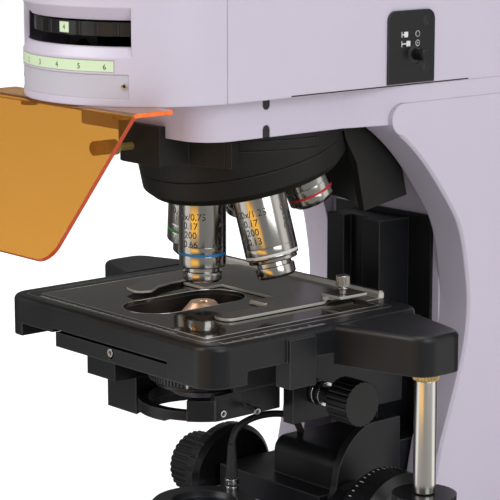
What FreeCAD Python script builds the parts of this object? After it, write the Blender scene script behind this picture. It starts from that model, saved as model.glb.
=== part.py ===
import FreeCAD, Part
import math
import os

# Upright fluorescence microscope, modelled about its optical axis: +Z up, +Y to the back, -Y to the user.
# Every piece is made in millimetres about the optical axis and moved once, when it is written,
# so that the finished part stands centred over the origin on the table.

V = FreeCAD.Vector
X_AXIS = V(1, 0, 0)
Y_AXIS = V(0, 1, 0)
Z_AXIS = V(0, 0, 1)

# Clearances shared by every fit
slide_gap = 0.3          # between bodies that slide or turn past each other
shaft_gap = 0.05         # radial play of a shaft in its bore
screw_flute_count = 16   # grip flutes round a small thumbscrew

# Heights of the main levels above the table
foot_height = 3.0
deck_top = 27.0          # top of the wide low foot
hump_top = 62.0          # top of the raised middle of the base
stage_top = 190.0
arm_bottom = 285.0
side_cover_top = 296.5
cover_bottom = 306.0
cover_top = 372.0

# Base and column
base_half_width = 100.0
base_front = -105.0
base_back = 235.0
base_corner_radius = 30.0
base_plate_thickness = 2.0
foot_radius = 11.0
foot_inset = 24.0
column_half_width = 45.0
column_front = 139.0
hump_front = -45.0
cover_half_width = 68.0
panel_half_width = 40.0
panel_top = 225.0
panel_thickness = 2.0
side_cover_bevel = 1.5

# Field lens in the base
field_housing_radius = 30.5
field_housing_height = 11.4
field_lens_radius = 17.0
field_lens_thickness = 4.0
lamp_module_radius = 14.0
lamp_module_height = 30.0

# Focus drive
focus_axis_y = 65.0
focus_axis_z = 64.0
focus_block_front = 62.0
focus_block_left = -10.5
focus_block_top = 97.0
pedestal_front = 48.0
pedestal_top = 76.0
side_plate_thickness = 5.0
side_plate_inner = 43.0
side_plate_top = 113.5
focus_block_round = 8.0
rail_half_width = 22.0
rail_front = 113.3
rail_top = 222.0
coarse_tube_radius = 7.0
fine_shaft_radius = 4.5
coarse_radius_right = 33.0
coarse_radius_left = 31.0
fine_radius = 19.0
coarse_right_start = 50.0
coarse_right_disc = 70.0
coarse_right_end = 96.0
coarse_left_start = 50.0
coarse_left_end = 61.0
fine_left_end = 88.0
fine_right_end = 102.0
fine_recess_depth = 12.0
fine_stub_length = 12.0     # how far each fine knob's shaft reaches into the coarse tube

# Stage bracket and condenser
bracket_half_width = 42.0
bracket_wall = 8.0
bracket_front = 29.3
bracket_back = 107.0
bracket_bottom = 121.0
bracket_roof = 12.0
underplate_bottom = 167.0
underplate_top = 175.0
underplate_left = -37.0
underplate_right = 62.0
underplate_front = -73.0
condenser_hole_radius = 30.0
condenser_knob_y = 46.6
condenser_knob_z = 137.0
condenser_knob_radius = 12.5
condenser_knob_start = 63.0
condenser_knob_end = 79.0
condenser_shaft_radius = 3.0
holder_ring_radius = 36.5
holder_ring_wall = 5.5
holder_ring_bottom = 128.0
holder_ring_top = 134.5
holder_boss_top = 141.0
fork_left_front = -40.0
fork_right_front = -6.0
fork_foot_bottom = 124.0
clamp_ring_bottom = 157.0
clamp_ring_radius = 28.8
fork_bottom = 143.5
fork_top = 165.0
condenser_radius = 27.5
condenser_bottom = 137.0
iris_ring_radius = 30.5
iris_ring_bottom = 145.0
iris_ring_top = 151.0
condenser_neck_radius = 24.0
condenser_top = 188.0
top_lens_radius = 5.4

# Stage plates
stage_left = -82.0
stage_right = 97.0
stage_front = -75.0
stage_back = 75.0
stage_plate_bottom = 175.0
stage_corner_radius = 13.0
inlay_left = -66.0
inlay_right = 78.0
inlay_front = -62.0
inlay_back = 60.0
inlay_thickness = 2.0
slot_left = -17.0
slot_right = 20.0
slot_front = -52.0
slot_back = 24.0
wing_right_end = 150.0
wing_left_end = -122.0
wing_bottom = 169.0
wing_back = 60.0
holder_plate_thickness = 1.5
holder_right = 66.0
holder_screw_x = 60.0
holder_screw_y = 49.0
holder_screw_radius = 3.75
drive_x = 134.0
drive_y = 39.0
drive_shaft_radius = 6.0
drive_core_radius = 3.0
y_knob_radius = 17.0
y_knob_bottom = 80.0
y_knob_top = 102.0
x_knob_radius = 14.0
x_knob_bottom = 56.0

# Nosepiece and objectives
turret_tilt = 14.0
objective_circle = 29.5
shoulder_z = 258.0
turret_radius = 57.0
turret_rim_drop = 8.0
turret_body_height = 13.0
turret_crown_height = 5.8
turret_crown_radius = 28.0
turret_cavity_top = 4.5
slider_turn = 20.0
slider_centre_y = 26.0
slider_drop = 8.0          # from the underside of the arm to the slider's lower face
slider_thickness = 5.2
slider_bottom = arm_bottom - slider_drop
slider_top = slider_bottom + slider_thickness
slider_inner = 13.0
slider_outer = 56.0
slider_left = -22.0
slider_right = 28.0
slider_window_radius = 9.0
guide_outer = 62.0
guide_left = -12.0
guide_right = 27.0
slider_way_end = 60.0
guide_bottom = slider_bottom - 8.0
front_block_left = -17.0
front_block_right = 26.0
front_block_front = -50.0
front_block_bottom = arm_bottom - 15.0
front_block_top = arm_bottom + 6.0
front_block_round = 14.0
objective_thread_radius = 12.0
clamp_screw_x = 2.6
clamp_screw_z = 279.0
clamp_screw_front = -74.5

# Arm, covers and filter turret
arm_half_width = 58.0
arm_front = -46.0
arm_corner_radius = 18.0
arm_bore_radius = 12.0
cover_wall = 3.0
head_centre_y = -33.4
cover_seam_y = -39.0
wheel_inset = 6.0
wheel_radius = cover_half_width - wheel_inset
wheel_bottom = 340.5
wheel_top = 347.6
window_gap = 0.6          # above and below the wheel
lower_scoop_start = 329.4
upper_scoop_end = 356.0
wheel_groove_count = 36
window_half_angle = 42.9
strip_half_angle = 35.4
strip_bottom = 323.2
strip_top = 329.0
strip_thickness = 0.8
access_bottom = 310.0
access_top = 322.0
access_half_angle = 41.5
cube_count = 6
cube_circle = -head_centre_y
cube_size = 23.5
turret_pin_radius = 5.0

# Field stop, shield and lamp house
stop_panel_front = 72.5
stop_panel_back = 107.7
stop_panel_bottom = 307.5
stop_panel_top = 347.0
stop_panel_thickness = 1.2
stop_rod_y = 93.3
stop_rod_z = 323.0
stop_rod_radius = 2.2
stop_hole_radius = 5.5
shield_thickness = 3.0
shield_half_width = cover_half_width
shield_flange_back = -74.5
shield_bend_y = -98.5
shield_length = 85.0
shield_screw_circle = cover_half_width - 3.5
shield_screw_angle = 38.34
shield_screw_x = shield_screw_circle * math.sin(math.radians(shield_screw_angle))
shield_screw_y = head_centre_y - shield_screw_circle * math.cos(math.radians(shield_screw_angle))
shield_slope = 51.5
shield_corner_radius = 10.0
lamp_house_back = 310.0
lamp_house_half_width = 42.0
lamp_house_bottom = 300.0
lamp_house_top = 366.0
lamp_fin_count = 9

# Viewing head
head_mount_radius = 24.0
head_mount_height = 6.0
view_angle = 30.0
swing_axis_y = -22.0
swing_axis_z = 424.0
swing_radius = 38.0
eye_half_distance = 31.0
arm_disc_radius = 20.0
arm_disc_thickness = 13.0
tube_radius = 17.0
eyepiece_radius = 16.5
pivot_radius = 7.0

# Cable between the field lens housing and the focus housing
cable_x = -7.0
cable_y = 26.6
cable_diameter = 4.0
plug_radius = 3.2
plug_height = 10.6
boot_top = 100.0

# The part is centred over the origin: these are the reaches of the outermost pieces
right_reach = drive_x + y_knob_radius
left_reach = wing_left_end
shield_end_y = shield_bend_y - shield_length * math.cos(math.radians(shield_slope))
placing = V(-(right_reach + left_reach) / 2, -(lamp_house_back + shield_end_y) / 2, 0)


def block(x0, x1, y0, y1, z0, z1):
    """Box between two corners."""
    return Part.makeBox(x1 - x0, y1 - y0, z1 - z0, V(x0, y0, z0))


def rod(radius, length, base, axis=Z_AXIS):
    """Cylinder from a base point along an axis."""
    return Part.makeCylinder(radius, length, base, axis)


def tube(outer, inner, length, base, axis=Z_AXIS):
    """Hollow cylinder."""
    return rod(outer, length, base, axis).cut(rod(inner, length, base, axis))


def join(first, *others):
    """Union with the seams between coplanar faces removed."""
    return first.fuse(list(others)).removeSplitter()


def prism(points, direction):
    """Closed polygon pushed along a vector."""
    closed = Part.makePolygon(points + [points[0]])
    return Part.Face(closed).extrude(direction)


def plan_prism(outline, z0, z1):
    """Plan outline of (x, y) points pushed up from z0 to z1."""
    return prism([V(x, y, z0) for x, y in outline], V(0, 0, z1 - z0))


def side_prism(outline, x0, x1):
    """Side outline of (y, z) points pushed across from x0 to x1."""
    return prism([V(x0, y, z) for y, z in outline], V(x1 - x0, 0, 0))


def round_upright(shape, radius, choose=None):
    """Fillet the vertical edges, or those that the chooser keeps."""
    picked = []
    for edge in shape.Edges:
        ends = [vertex.Point for vertex in edge.Vertexes]
        if len(ends) < 2 or abs(ends[0].x - ends[1].x) > 1e-6 or abs(ends[0].y - ends[1].y) > 1e-6:
            continue
        if choose is None or choose(edge.CenterOfMass):
            picked.append(edge)
    return shape.makeFillet(radius, picked)


def round_level(shape, radius, height, choose=None):
    """Fillet the edges that lie at one height."""
    picked = []
    for edge in shape.Edges:
        box = edge.BoundBox
        if abs(box.ZMin - height) > 1e-4 or abs(box.ZMax - height) > 1e-4:
            continue
        if choose is None or choose(edge.CenterOfMass):
            picked.append(edge)
    return shape.makeFillet(radius, picked)


def turned(profile, base=V(0, 0, 0), axis=Z_AXIS):
    """Solid of revolution from (radius, distance) pairs along an axis through a base point."""
    outline = [V(radius, 0, distance) for radius, distance in profile]
    solid = Part.Face(Part.makePolygon(outline + [outline[0]])).revolve(V(0, 0, 0), Z_AXIS, 360)
    solid.Placement = FreeCAD.Placement(base, FreeCAD.Rotation(Z_AXIS, axis))
    return solid


def ring_of(shape, count, base=V(0, 0, 0), axis=Z_AXIS, start=0.0):
    """Copies of a shape evenly spaced round an axis."""
    copies = []
    for index in range(count):
        turned_copy = shape.copy()
        turned_copy.rotate(base, axis, start + 360.0 * index / count)
        copies.append(turned_copy)
    return copies


def grooved(radius, length, base, axis, groove_count, groove_radius):
    """Grip: a cylinder with round grooves along it."""
    body = rod(radius, length, base, axis)
    side = axis.cross(Z_AXIS) if axis.cross(Z_AXIS).Length > 0.1 else X_AXIS
    side.normalize()
    cutter = rod(groove_radius, length, base + side * (radius + groove_radius * 0.45), axis)
    return body.cut(ring_of(cutter, groove_count, base, axis))


def sector(inner, outer, z0, z1, half_angle, middle=0.0):
    """Part of a ring about the head centre; the angle is measured from the front."""
    wedge = tube(outer, inner, z1 - z0, V(0, 0, z0))
    reach = outer * 3
    limit = math.radians(half_angle)
    corners = [V(0, 0, z0)]
    for step in range(-2, 3):
        angle = limit * step / 2
        corners.append(V(reach * math.sin(angle), -reach * math.cos(angle), z0))
    wedge = wedge.common(prism(corners, V(0, 0, z1 - z0)))
    wedge.rotate(V(0, 0, 0), Z_AXIS, middle)
    wedge.translate(V(0, head_centre_y, 0))
    return wedge


def save(name, *shapes):
    """Write one node after moving it to its place over the origin."""
    node = shapes[0] if len(shapes) == 1 else Part.makeCompound(list(shapes))
    node = node.copy()
    node.translate(placing)
    node.exportStep("parts/" + name + ".step")


def make_base():
    """Low wide foot with a raised middle, its plate, its rubber feet and the field lens."""
    foot = block(-base_half_width, base_half_width, base_front, base_back, foot_height, deck_top)
    foot = round_upright(foot, base_corner_radius, lambda p: p.y < 0)
    foot = round_upright(foot, base_corner_radius / 3, lambda p: p.y > base_back - 1)
    foot = round_level(foot, 5.0, deck_top)
    hump = block(-column_half_width, column_half_width, hump_front, base_back, deck_top, hump_top)
    hump = round_upright(hump, 25.0, lambda p: p.y < hump_front + 1)
    plate_pocket = block(-base_half_width + 8, base_half_width - 8, base_front + 8, base_back - 8,
                         foot_height, foot_height + base_plate_thickness)
    plate_pocket = round_upright(plate_pocket, base_corner_radius - 8)
    casting = join(foot, hump).cut(plate_pocket)
    lamp_bore = rod(lamp_module_radius + slide_gap, hump_top - lamp_floor(), V(0, 0, lamp_floor()))
    knob_bore = rod(4.0, 12.0, V(base_half_width - 12, -40, 16), X_AXIS)
    coarse_room = rod(coarse_tube_radius + shaft_gap, 2 * column_half_width,
                      V(-column_half_width, focus_axis_y, focus_axis_z), X_AXIS)
    casting = casting.cut([lamp_bore, knob_bore, coarse_room])
    save("base_casting", casting)

    feet = []
    foot_places = []
    for x in (-base_half_width + foot_inset, base_half_width - foot_inset):
        for y in (base_front + foot_inset, base_back - foot_inset):
            foot_places.append((x, y))
    for x, y in foot_places:
        pad = Part.makeCone(foot_radius - 1.5, foot_radius, foot_height, V(x, y, 0))
        feet.append(pad)
    save("rubber_feet", *feet)

    plate = plate_pocket.copy()
    save("base_bottom_plate", plate)

    top = hump_top + field_housing_height
    housing = turned([(lamp_module_radius, hump_top), (field_housing_radius, hump_top),
                      (field_housing_radius, top - 2.0), (field_housing_radius - 2.0, top),
                      (field_lens_radius + 2.0, top), (field_lens_radius, top - 3.0),
                      (field_lens_radius, top - 7.0), (lamp_module_radius, top - 7.0)])
    plug_hole = rod(plug_radius - 1.0, 5.0, V(cable_x, cable_y, top - 5.0))
    save("field_lens_housing", housing.cut(plug_hole))
    seat = top - 7.0
    lens = turned([(0, seat), (field_lens_radius - shaft_gap, seat),
                   (field_lens_radius - shaft_gap, seat + field_lens_thickness - 2.0),
                   (11.0, seat + field_lens_thickness - 0.5), (0, seat + field_lens_thickness)])
    save("field_lens", lens)
    module = rod(lamp_module_radius, lamp_module_height, V(0, 0, lamp_floor()))
    for level in range(3):
        groove = tube(lamp_module_radius + 1, lamp_module_radius - 3, 3.0, V(0, 0, lamp_floor() + 5 + 7 * level))
        module = module.cut(groove)
    save("base_lamp_module", module)

    dimmer = join(grooved(9.0, 9.0, V(base_half_width + 0.3, -40, 16), X_AXIS, 18, 0.7),
                  rod(4.0 - shaft_gap, 10.0, V(base_half_width - 9.7, -40, 16), X_AXIS))
    save("brightness_knob", dimmer)


def lamp_floor():
    """Height at which the lamp module stands inside the base."""
    return hump_top - lamp_module_height


def side_cover(sign):
    """Thick curved cover that makes the hollow front line of the column."""
    start = column_half_width * sign
    depth = (cover_half_width - column_half_width) * sign
    line = Part.BSplineCurve()
    spots = [V(start, y, z) for y, z in [(119, 97), (132, 134), (140, 178), (137.5, 199), (130, 226), (120, 241)]]
    spots += [V(start, y, z) for y, z in [(98, 267), (82, 280)]]
    line.interpolate(spots)
    nose = Part.Arc(V(start, 82, 280), V(start, 77.4, 288.5), V(start, 86, side_cover_top)).toShape()
    top = Part.makeLine(V(start, 86, side_cover_top), V(start, base_back, side_cover_top))
    back = Part.makeLine(V(start, base_back, side_cover_top), V(start, base_back, deck_top))
    bottom = Part.makeLine(V(start, base_back, deck_top), V(start, 104, deck_top))
    shin = Part.makeLine(V(start, 104, deck_top), V(start, 119, 97))
    wire = Part.Wire(Part.__sortEdges__([line.toShape(), nose, top, back, bottom, shin]))
    cover = Part.Face(wire).extrude(V(depth, 0, 0))
    outer = start + depth
    picked = []
    for edge in cover.Edges:
        box = edge.BoundBox
        outside = abs(box.XMin - outer) < 1e-4 and abs(box.XMax - outer) < 1e-4
        if outside and box.YMax < column_front + 6 and edge.Length > 30:
            picked.append(edge)
    return cover.makeChamfer(side_cover_bevel, picked)


def make_column():
    """Column core, its black front panel and its two side covers."""
    core = block(-column_half_width, column_half_width, column_front, base_back, hump_top, arm_bottom)
    save("column_casting", core)
    panel = block(-panel_half_width, panel_half_width, column_front - panel_thickness, column_front,
                  focus_block_top, panel_top)
    save("column_front_panel", panel)
    save("column_side_covers", side_cover(1), side_cover(-1))


def make_focus_housing():
    """Focus block with quarter-round side plates and the upright rail for the stage bracket."""
    high = block(focus_block_left, side_plate_inner, focus_block_front, column_front, hump_top, focus_block_top)
    high = high.makeFillet(focus_block_round, [e for e in high.Edges
                                               if abs(e.CenterOfMass.y - focus_block_front) < 1e-4
                                               and abs(e.CenterOfMass.z - focus_block_top) < 1e-4])
    low = block(-side_plate_inner, side_plate_inner, pedestal_front, column_front, hump_top, pedestal_top)
    start = Part.makeLine(V(side_plate_inner, 52, hump_top), V(side_plate_inner, 57, 81))
    curve = Part.Arc(V(side_plate_inner, 57, 81), V(side_plate_inner, 65.5, 102.5),
                     V(side_plate_inner, 82, side_plate_top)).toShape()
    top = Part.makeLine(V(side_plate_inner, 82, side_plate_top), V(side_plate_inner, 106, side_plate_top))
    back = Part.makeLine(V(side_plate_inner, 106, side_plate_top), V(side_plate_inner, 106, hump_top))
    floor = Part.makeLine(V(side_plate_inner, 106, hump_top), V(side_plate_inner, 52, hump_top))
    face = Part.Face(Part.Wire([start, curve, top, back, floor]))
    cheek = face.extrude(V(side_plate_thickness, 0, 0))
    rail = block(-rail_half_width, rail_half_width, rail_front, column_front - panel_thickness,
                 focus_block_top, rail_top)
    channel = block(-8, 8, rail_front - 1, rail_front + 6, focus_block_top + 10, rail_top + 1)
    housing = join(low, high, cheek)
    housing = join(housing, rail.cut(channel))
    shaft_room = rod(coarse_tube_radius + shaft_gap, 4 * column_half_width,
                     V(-2 * column_half_width, focus_axis_y, focus_axis_z), X_AXIS)
    save("focus_housing", housing.cut(shaft_room))


def make_focus_knobs():
    """Coarse knobs on a tube and fine knobs on the shaft inside it."""
    centre = V(0, focus_axis_y, focus_axis_z)
    right = turned([(coarse_tube_radius, coarse_right_start), (fine_radius, coarse_right_start),
                    (fine_radius, coarse_right_disc), (coarse_radius_right - 3, coarse_right_disc),
                    (coarse_radius_right, coarse_right_disc + 4), (coarse_radius_right, coarse_right_end - 5),
                    (coarse_radius_right - 5, coarse_right_end), (fine_radius + 1.5, coarse_right_end),
                    (fine_radius + 1.5, coarse_right_end - fine_recess_depth),
                    (coarse_tube_radius, coarse_right_end - fine_recess_depth)], centre, X_AXIS)
    left = turned([(coarse_tube_radius, coarse_left_start), (coarse_radius_left - 3, coarse_left_start),
                   (coarse_radius_left, coarse_left_start + 3), (coarse_radius_left, coarse_left_end - 2),
                   (coarse_radius_left - 2, coarse_left_end), (coarse_tube_radius, coarse_left_end)],
                  centre, -X_AXIS)
    groove = rod(1.1, 7.0, centre + V(-coarse_left_end + 1, 0, coarse_radius_left + 0.5), X_AXIS)
    left = left.cut(ring_of(groove, 24, centre, X_AXIS))
    link = rod(coarse_tube_radius, coarse_left_end + coarse_right_end - fine_recess_depth,
               centre - V(coarse_left_end, 0, 0), X_AXIS)
    bore = rod(fine_shaft_radius + shaft_gap, 400, centre - V(200, 0, 0), X_AXIS)
    save("coarse_focus_knobs", join(link, right, left).cut(bore))

    left_fine = grooved(fine_radius, fine_left_end - coarse_left_end - slide_gap,
                        centre - V(fine_left_end, 0, 0), X_AXIS, 30, 1.2)
    right_start = coarse_right_end - fine_recess_depth + slide_gap
    right_fine = grooved(fine_radius, fine_right_end - right_start, centre + V(right_start, 0, 0), X_AXIS, 30, 1.2)
    left_shaft = rod(fine_shaft_radius, fine_stub_length, centre - V(coarse_left_end + slide_gap, 0, 0), X_AXIS)
    right_shaft = rod(fine_shaft_radius, fine_stub_length, centre + V(right_start, 0, 0), -X_AXIS)
    save("fine_focus_knobs", join(left_shaft, left_fine), join(right_shaft, right_fine))


def make_bracket():
    """Hollow stage bracket with the lower stage plate on it."""
    roof_bottom = underplate_bottom - bracket_roof
    roof = block(-bracket_half_width, bracket_half_width, bracket_front, bracket_back, roof_bottom, underplate_bottom)
    walls = []
    for sign in (1, -1):
        outer = bracket_half_width * sign
        inner = (bracket_half_width - bracket_wall) * sign
        walls.append(block(min(outer, inner), max(outer, inner), bracket_front, bracket_back,
                           bracket_bottom, roof_bottom))
    back_top = stage_plate_bottom - 1.0
    back_plate = block(-bracket_half_width, bracket_half_width, bracket_back, rail_front - slide_gap,
                       bracket_bottom, back_top)
    cable_room = block(-18, 18, bracket_back - 1, rail_front, bracket_bottom - 1, bracket_bottom + 20)
    runner = block(-8 + slide_gap, 8 - slide_gap, rail_front - slide_gap, rail_front + 5,
                   bracket_bottom + 22, back_top - 2)
    bracket = join(roof, *walls)
    bracket = join(bracket, back_plate.cut(cable_room), runner)
    knob_bore = rod(condenser_shaft_radius + shaft_gap, bracket_wall + 2,
                    V(bracket_half_width - bracket_wall - 1, condenser_knob_y, condenser_knob_z), X_AXIS)
    save("stage_bracket", bracket.cut(knob_bore))

    plate = block(underplate_left, underplate_right, underplate_front, bracket_back, underplate_bottom, underplate_top)
    opening = rod(condenser_hole_radius, 20, V(0, 0, underplate_bottom - 5))
    screw_seat = rod(2.2, 2.0, V((underplate_left + underplate_right) / 2, underplate_front, 171), Y_AXIS)
    way = block(underplate_left - 1, underplate_left + 5, underplate_front + 6, bracket_back - 6, 170, 173)
    far_way = block(underplate_right - 5, underplate_right + 1, underplate_front + 6, bracket_back - 6, 170, 173)
    save("stage_underplate", plate.cut([opening, screw_seat, way, far_way]))


def make_condenser():
    """Condenser fork, condenser, iris ring, top lens and the height knob."""
    fronts = {-1: fork_left_front, 1: fork_right_front}
    foot_fronts = {-1: fork_left_front + 14, 1: fork_right_front - 4}
    arms = []
    for sign in (1, -1):
        ends = sorted((28.0 * sign, 51.0 * sign))
        feet = sorted((holder_ring_radius * 0.9 * sign, 51.0 * sign))
        arms.append(block(*ends, fronts[sign], 22, fork_bottom, fork_top))
        arms.append(block(*feet, foot_fronts[sign], 26, fork_foot_bottom, fork_bottom))
    yoke = block(-bracket_half_width, bracket_half_width, 20, bracket_front - slide_gap, fork_bottom, fork_top)
    ring_room = rod(holder_ring_radius - 1.0, holder_boss_top - fork_foot_bottom, V(0, 0, fork_foot_bottom))
    iris_room = rod(iris_ring_radius + 1.0, clamp_ring_bottom - holder_boss_top, V(0, 0, holder_boss_top))
    neck_room = rod(condenser_neck_radius, fork_top - clamp_ring_bottom, V(0, 0, clamp_ring_bottom))
    ring_height = holder_ring_top - holder_ring_bottom
    boss = tube(holder_ring_radius + 1.5, holder_ring_radius - holder_ring_wall,
                holder_boss_top - holder_ring_bottom, V(0, 0, holder_ring_bottom))
    boss = boss.common(plan_prism([(0, 0), (60, 0), (60, -60), (45, -60)], holder_ring_bottom, holder_boss_top))
    ring = tube(holder_ring_radius, holder_ring_radius - holder_ring_wall, ring_height, V(0, 0, holder_ring_bottom))
    ring = ring.cut(block(-20, 20, 10, 60, holder_ring_bottom, holder_ring_top))
    clamp = rod(clamp_ring_radius, fork_top - clamp_ring_bottom, V(0, 0, clamp_ring_bottom))
    fork = join(yoke, *arms, clamp).cut([ring_room, iris_room, neck_room])
    save("condenser_fork", join(fork, ring, boss))

    body = turned([(14, condenser_bottom), (condenser_radius - 3.5, condenser_bottom),
                   (condenser_radius, condenser_bottom + 2), (condenser_radius, iris_ring_bottom - slide_gap),
                   (condenser_neck_radius - 4, iris_ring_bottom - slide_gap),
                   (condenser_neck_radius - 4, iris_ring_top + slide_gap),
                   (condenser_neck_radius, iris_ring_top + slide_gap), (condenser_neck_radius, 162), (22, 165),
                   (16, 165), (16, 172), (12, 176), (8.5, 176), (8.5, 160), (14, 160)])
    save("condenser_body", body)
    iris = turned([(condenser_neck_radius - 4 + shaft_gap, iris_ring_bottom), (iris_ring_radius, iris_ring_bottom),
                   (iris_ring_radius, iris_ring_top), (condenser_neck_radius - 4 + shaft_gap, iris_ring_top)])
    notch = rod(0.9, iris_ring_top - iris_ring_bottom, V(iris_ring_radius + 0.3, 0, iris_ring_bottom))
    save("condenser_iris_ring", iris.cut(ring_of(notch, 60)))
    lens = turned([(0, 160), (8.5, 160), (8.5, 176), (12, 176), (11.6, 179), (top_lens_radius + 1.2, 187.4),
                   (top_lens_radius, condenser_top), (0, condenser_top)])
    save("condenser_top_lens", lens)

    knob = grooved(condenser_knob_radius, condenser_knob_end - condenser_knob_start,
                   V(condenser_knob_start, condenser_knob_y, condenser_knob_z), X_AXIS, 24, 0.9)
    washer_start = bracket_half_width + slide_gap
    washer = join(rod(6.7, 8.0, V(washer_start, condenser_knob_y, condenser_knob_z), X_AXIS),
                  rod(5.0, condenser_knob_start - washer_start,
                      V(washer_start, condenser_knob_y, condenser_knob_z), X_AXIS))
    shaft = rod(condenser_shaft_radius, 18, V(bracket_half_width - bracket_wall, condenser_knob_y,
                                              condenser_knob_z), X_AXIS)
    save("condenser_knob", join(knob, washer, shaft))


def stage_slot(z0, z1):
    """Long round-ended opening for the light path."""
    radius = (slot_right - slot_left) / 2
    middle = (slot_right + slot_left) / 2
    straight = block(slot_left, slot_right, slot_front + radius, slot_back - radius, z0, z1)
    front = rod(radius, z1 - z0, V(middle, slot_front + radius, z0))
    back = rod(radius, z1 - z0, V(middle, slot_back - radius, z0))
    return join(straight, front, back)


def wing(points):
    """Rounded cover beside the stage plate."""
    shape = plan_prism(points, wing_bottom, stage_top)
    far = max(abs(x) for x, y in points)
    shape = round_upright(shape, 11.0, lambda p: abs(abs(p.x) - far) < 6)
    return round_level(shape, 3.0, stage_top, lambda p: abs(p.x) > abs(points[0][0]) + 1)


def make_stage():
    """Upper stage plate with its inlay, wings, guide rail and drive shaft."""
    plate = block(stage_left, stage_right, stage_front, stage_back, stage_plate_bottom, stage_top)
    plate = round_upright(plate, stage_corner_radius)
    cavity_top = underplate_top + slide_gap + 2.0
    skirts = []
    skirt_spans = ((stage_left, stage_left + 16), (stage_right - 34, stage_right))
    for x0, x1 in skirt_spans:
        skirt = block(x0, x1, stage_front, stage_front + 24, 168, stage_plate_bottom)
        skirts.append(round_upright(skirt, stage_corner_radius - 0.01,
                                    lambda p: p.y < stage_front + 1 and (p.x < stage_left + 1
                                                                         or p.x > stage_right - 1)))
    guide = block(stage_right - 9, stage_right + 2, -24, -6, 161, 187)
    plate = join(plate, *skirts)
    plate = round_level(plate, 3.0, stage_top)
    plate = join(plate, guide)
    inlay_room = block(inlay_left, inlay_right, inlay_front, inlay_back, stage_top - inlay_thickness, stage_top + 1)
    cavity = block(underplate_left - slide_gap, underplate_right + slide_gap, stage_front - 1, stage_back + 1,
                   stage_plate_bottom - 1, cavity_top)
    plate = plate.cut([inlay_room, cavity, stage_slot(stage_plate_bottom - 5, stage_top + 1)])
    save("stage_top_plate", plate)

    inlay = block(inlay_left, inlay_right, inlay_front, inlay_back, stage_top - inlay_thickness, stage_top)
    inlay = inlay.cut(stage_slot(stage_top - 5, stage_top + 1))
    save("stage_inlay", inlay)

    right_points = [(stage_right, 8), (wing_right_end, 22), (wing_right_end, 50), (stage_right + 14, wing_back),
                    (stage_right, wing_back)]
    left_points = [(stage_left, 8), (stage_left, wing_back), (stage_left - 12, wing_back), (wing_left_end, 50),
                   (wing_left_end, 22)]
    bearing = rod(drive_shaft_radius, 14, V(drive_x, drive_y, wing_bottom))
    right_wing = wing(right_points).cut(bearing)
    save("stage_wing_right", right_wing)
    save("stage_wing_left", wing(left_points))

    rail = block(stage_left + 4, holder_right, inlay_back + 3, stage_back - 2, stage_top, stage_top + 5)
    groove = block(stage_left, holder_right + 1, inlay_back + 3, inlay_back + 5, stage_top + 2, stage_top + 4)
    save("stage_guide_rail", rail.cut(groove))

    shaft = rod(drive_shaft_radius, wing_bottom + 14 - y_knob_top - slide_gap,
                V(drive_x, drive_y, y_knob_top + slide_gap))
    collar = grooved(drive_shaft_radius + 1.0, 6.0, V(drive_x, drive_y, wing_bottom - 6.0), Z_AXIS, 20, 0.6)
    core = rod(drive_core_radius, y_knob_top - x_knob_bottom, V(drive_x, drive_y, x_knob_bottom + 4.0))
    save("stage_drive_shaft", join(shaft, collar, core))

    bore = rod(drive_core_radius + shaft_gap, 100, V(drive_x, drive_y, x_knob_bottom + 4.0 - slide_gap))
    y_knob = grooved(y_knob_radius, y_knob_top - y_knob_bottom, V(drive_x, drive_y, y_knob_bottom), Z_AXIS, 32, 1.0)
    x_knob = grooved(x_knob_radius, y_knob_bottom - slide_gap - x_knob_bottom,
                     V(drive_x, drive_y, x_knob_bottom), Z_AXIS, 28, 1.0)
    save("stage_y_knob", y_knob.cut(bore))
    save("stage_x_knob", x_knob.cut(bore))


def make_specimen_holder():
    """Slide holder: back bar, fixed arm, sprung finger and clamping screw."""
    low = stage_top + slide_gap
    high = low + holder_plate_thickness
    bar = block(-46, holder_right, 26, 42, low, high)
    arm = round_upright(block(38, 55, -25, 30, low, high), 8.0, lambda p: p.y < 0)
    riser = block(50, holder_right, 40, 62.7, low, stage_top + 3)
    carriage = block(-30, holder_right, 44, 62.7, low, stage_top + 6)
    tongue = block(-30, holder_right, 62, 62.7 + 2.0, stage_top + 2.3, stage_top + 3.7)
    screw_boss = rod(6.5, 6.0, V(holder_screw_x, holder_screw_y, stage_top + 1))
    pivot_hole = rod(2.0 + shaft_gap, 10, V(-39, 33, low - 1))
    holder = join(bar, arm, riser, carriage, tongue, screw_boss)
    screw_hole = rod(1.6, 20, V(holder_screw_x, holder_screw_y, stage_top + 0.5))
    link = block(-46, holder_right, 41, 45, low, high)
    save("specimen_holder", join(holder, link).cut([screw_hole, pivot_hole]))

    head_z = stage_top + 7.0
    screw = join(rod(1.6, 6.5, V(holder_screw_x, holder_screw_y, stage_top + 1.0)),
                 rod(2.2, 3.0, V(holder_screw_x, holder_screw_y, head_z)),
                 grooved(holder_screw_radius, 6.5, V(holder_screw_x, holder_screw_y, head_z + 2.5), Z_AXIS,
                         screw_flute_count, 0.35))
    save("holder_screw", screw)

    finger_low = high + slide_gap
    finger_high = finger_low + holder_plate_thickness
    outline = [V(-33, 38, finger_low), V(-45, 38, finger_low), V(-46, 24, finger_low), V(-43, 4, finger_low),
               V(-34, -14, finger_low), V(-29, -27, finger_low), V(-26.5, -26, finger_low),
               V(-30, -12, finger_low), V(-37, 6, finger_low), V(-37, 20, finger_low)]
    finger = prism(outline, V(0, 0, finger_high - finger_low))
    pin = rod(2.0, finger_high + 1 - low, V(-39, 33, low))
    save("holder_finger", join(finger, pin))


def turret_frame():
    """Centre of the objective circle, the turret axis and the direction that climbs to the back."""
    tilt = math.radians(turret_tilt)
    axis = V(0, math.sin(tilt), -math.cos(tilt))
    rising = V(0, math.cos(tilt), math.sin(tilt))
    centre = V(0, 0, shoulder_z) + rising * objective_circle
    return centre, axis, rising


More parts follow.
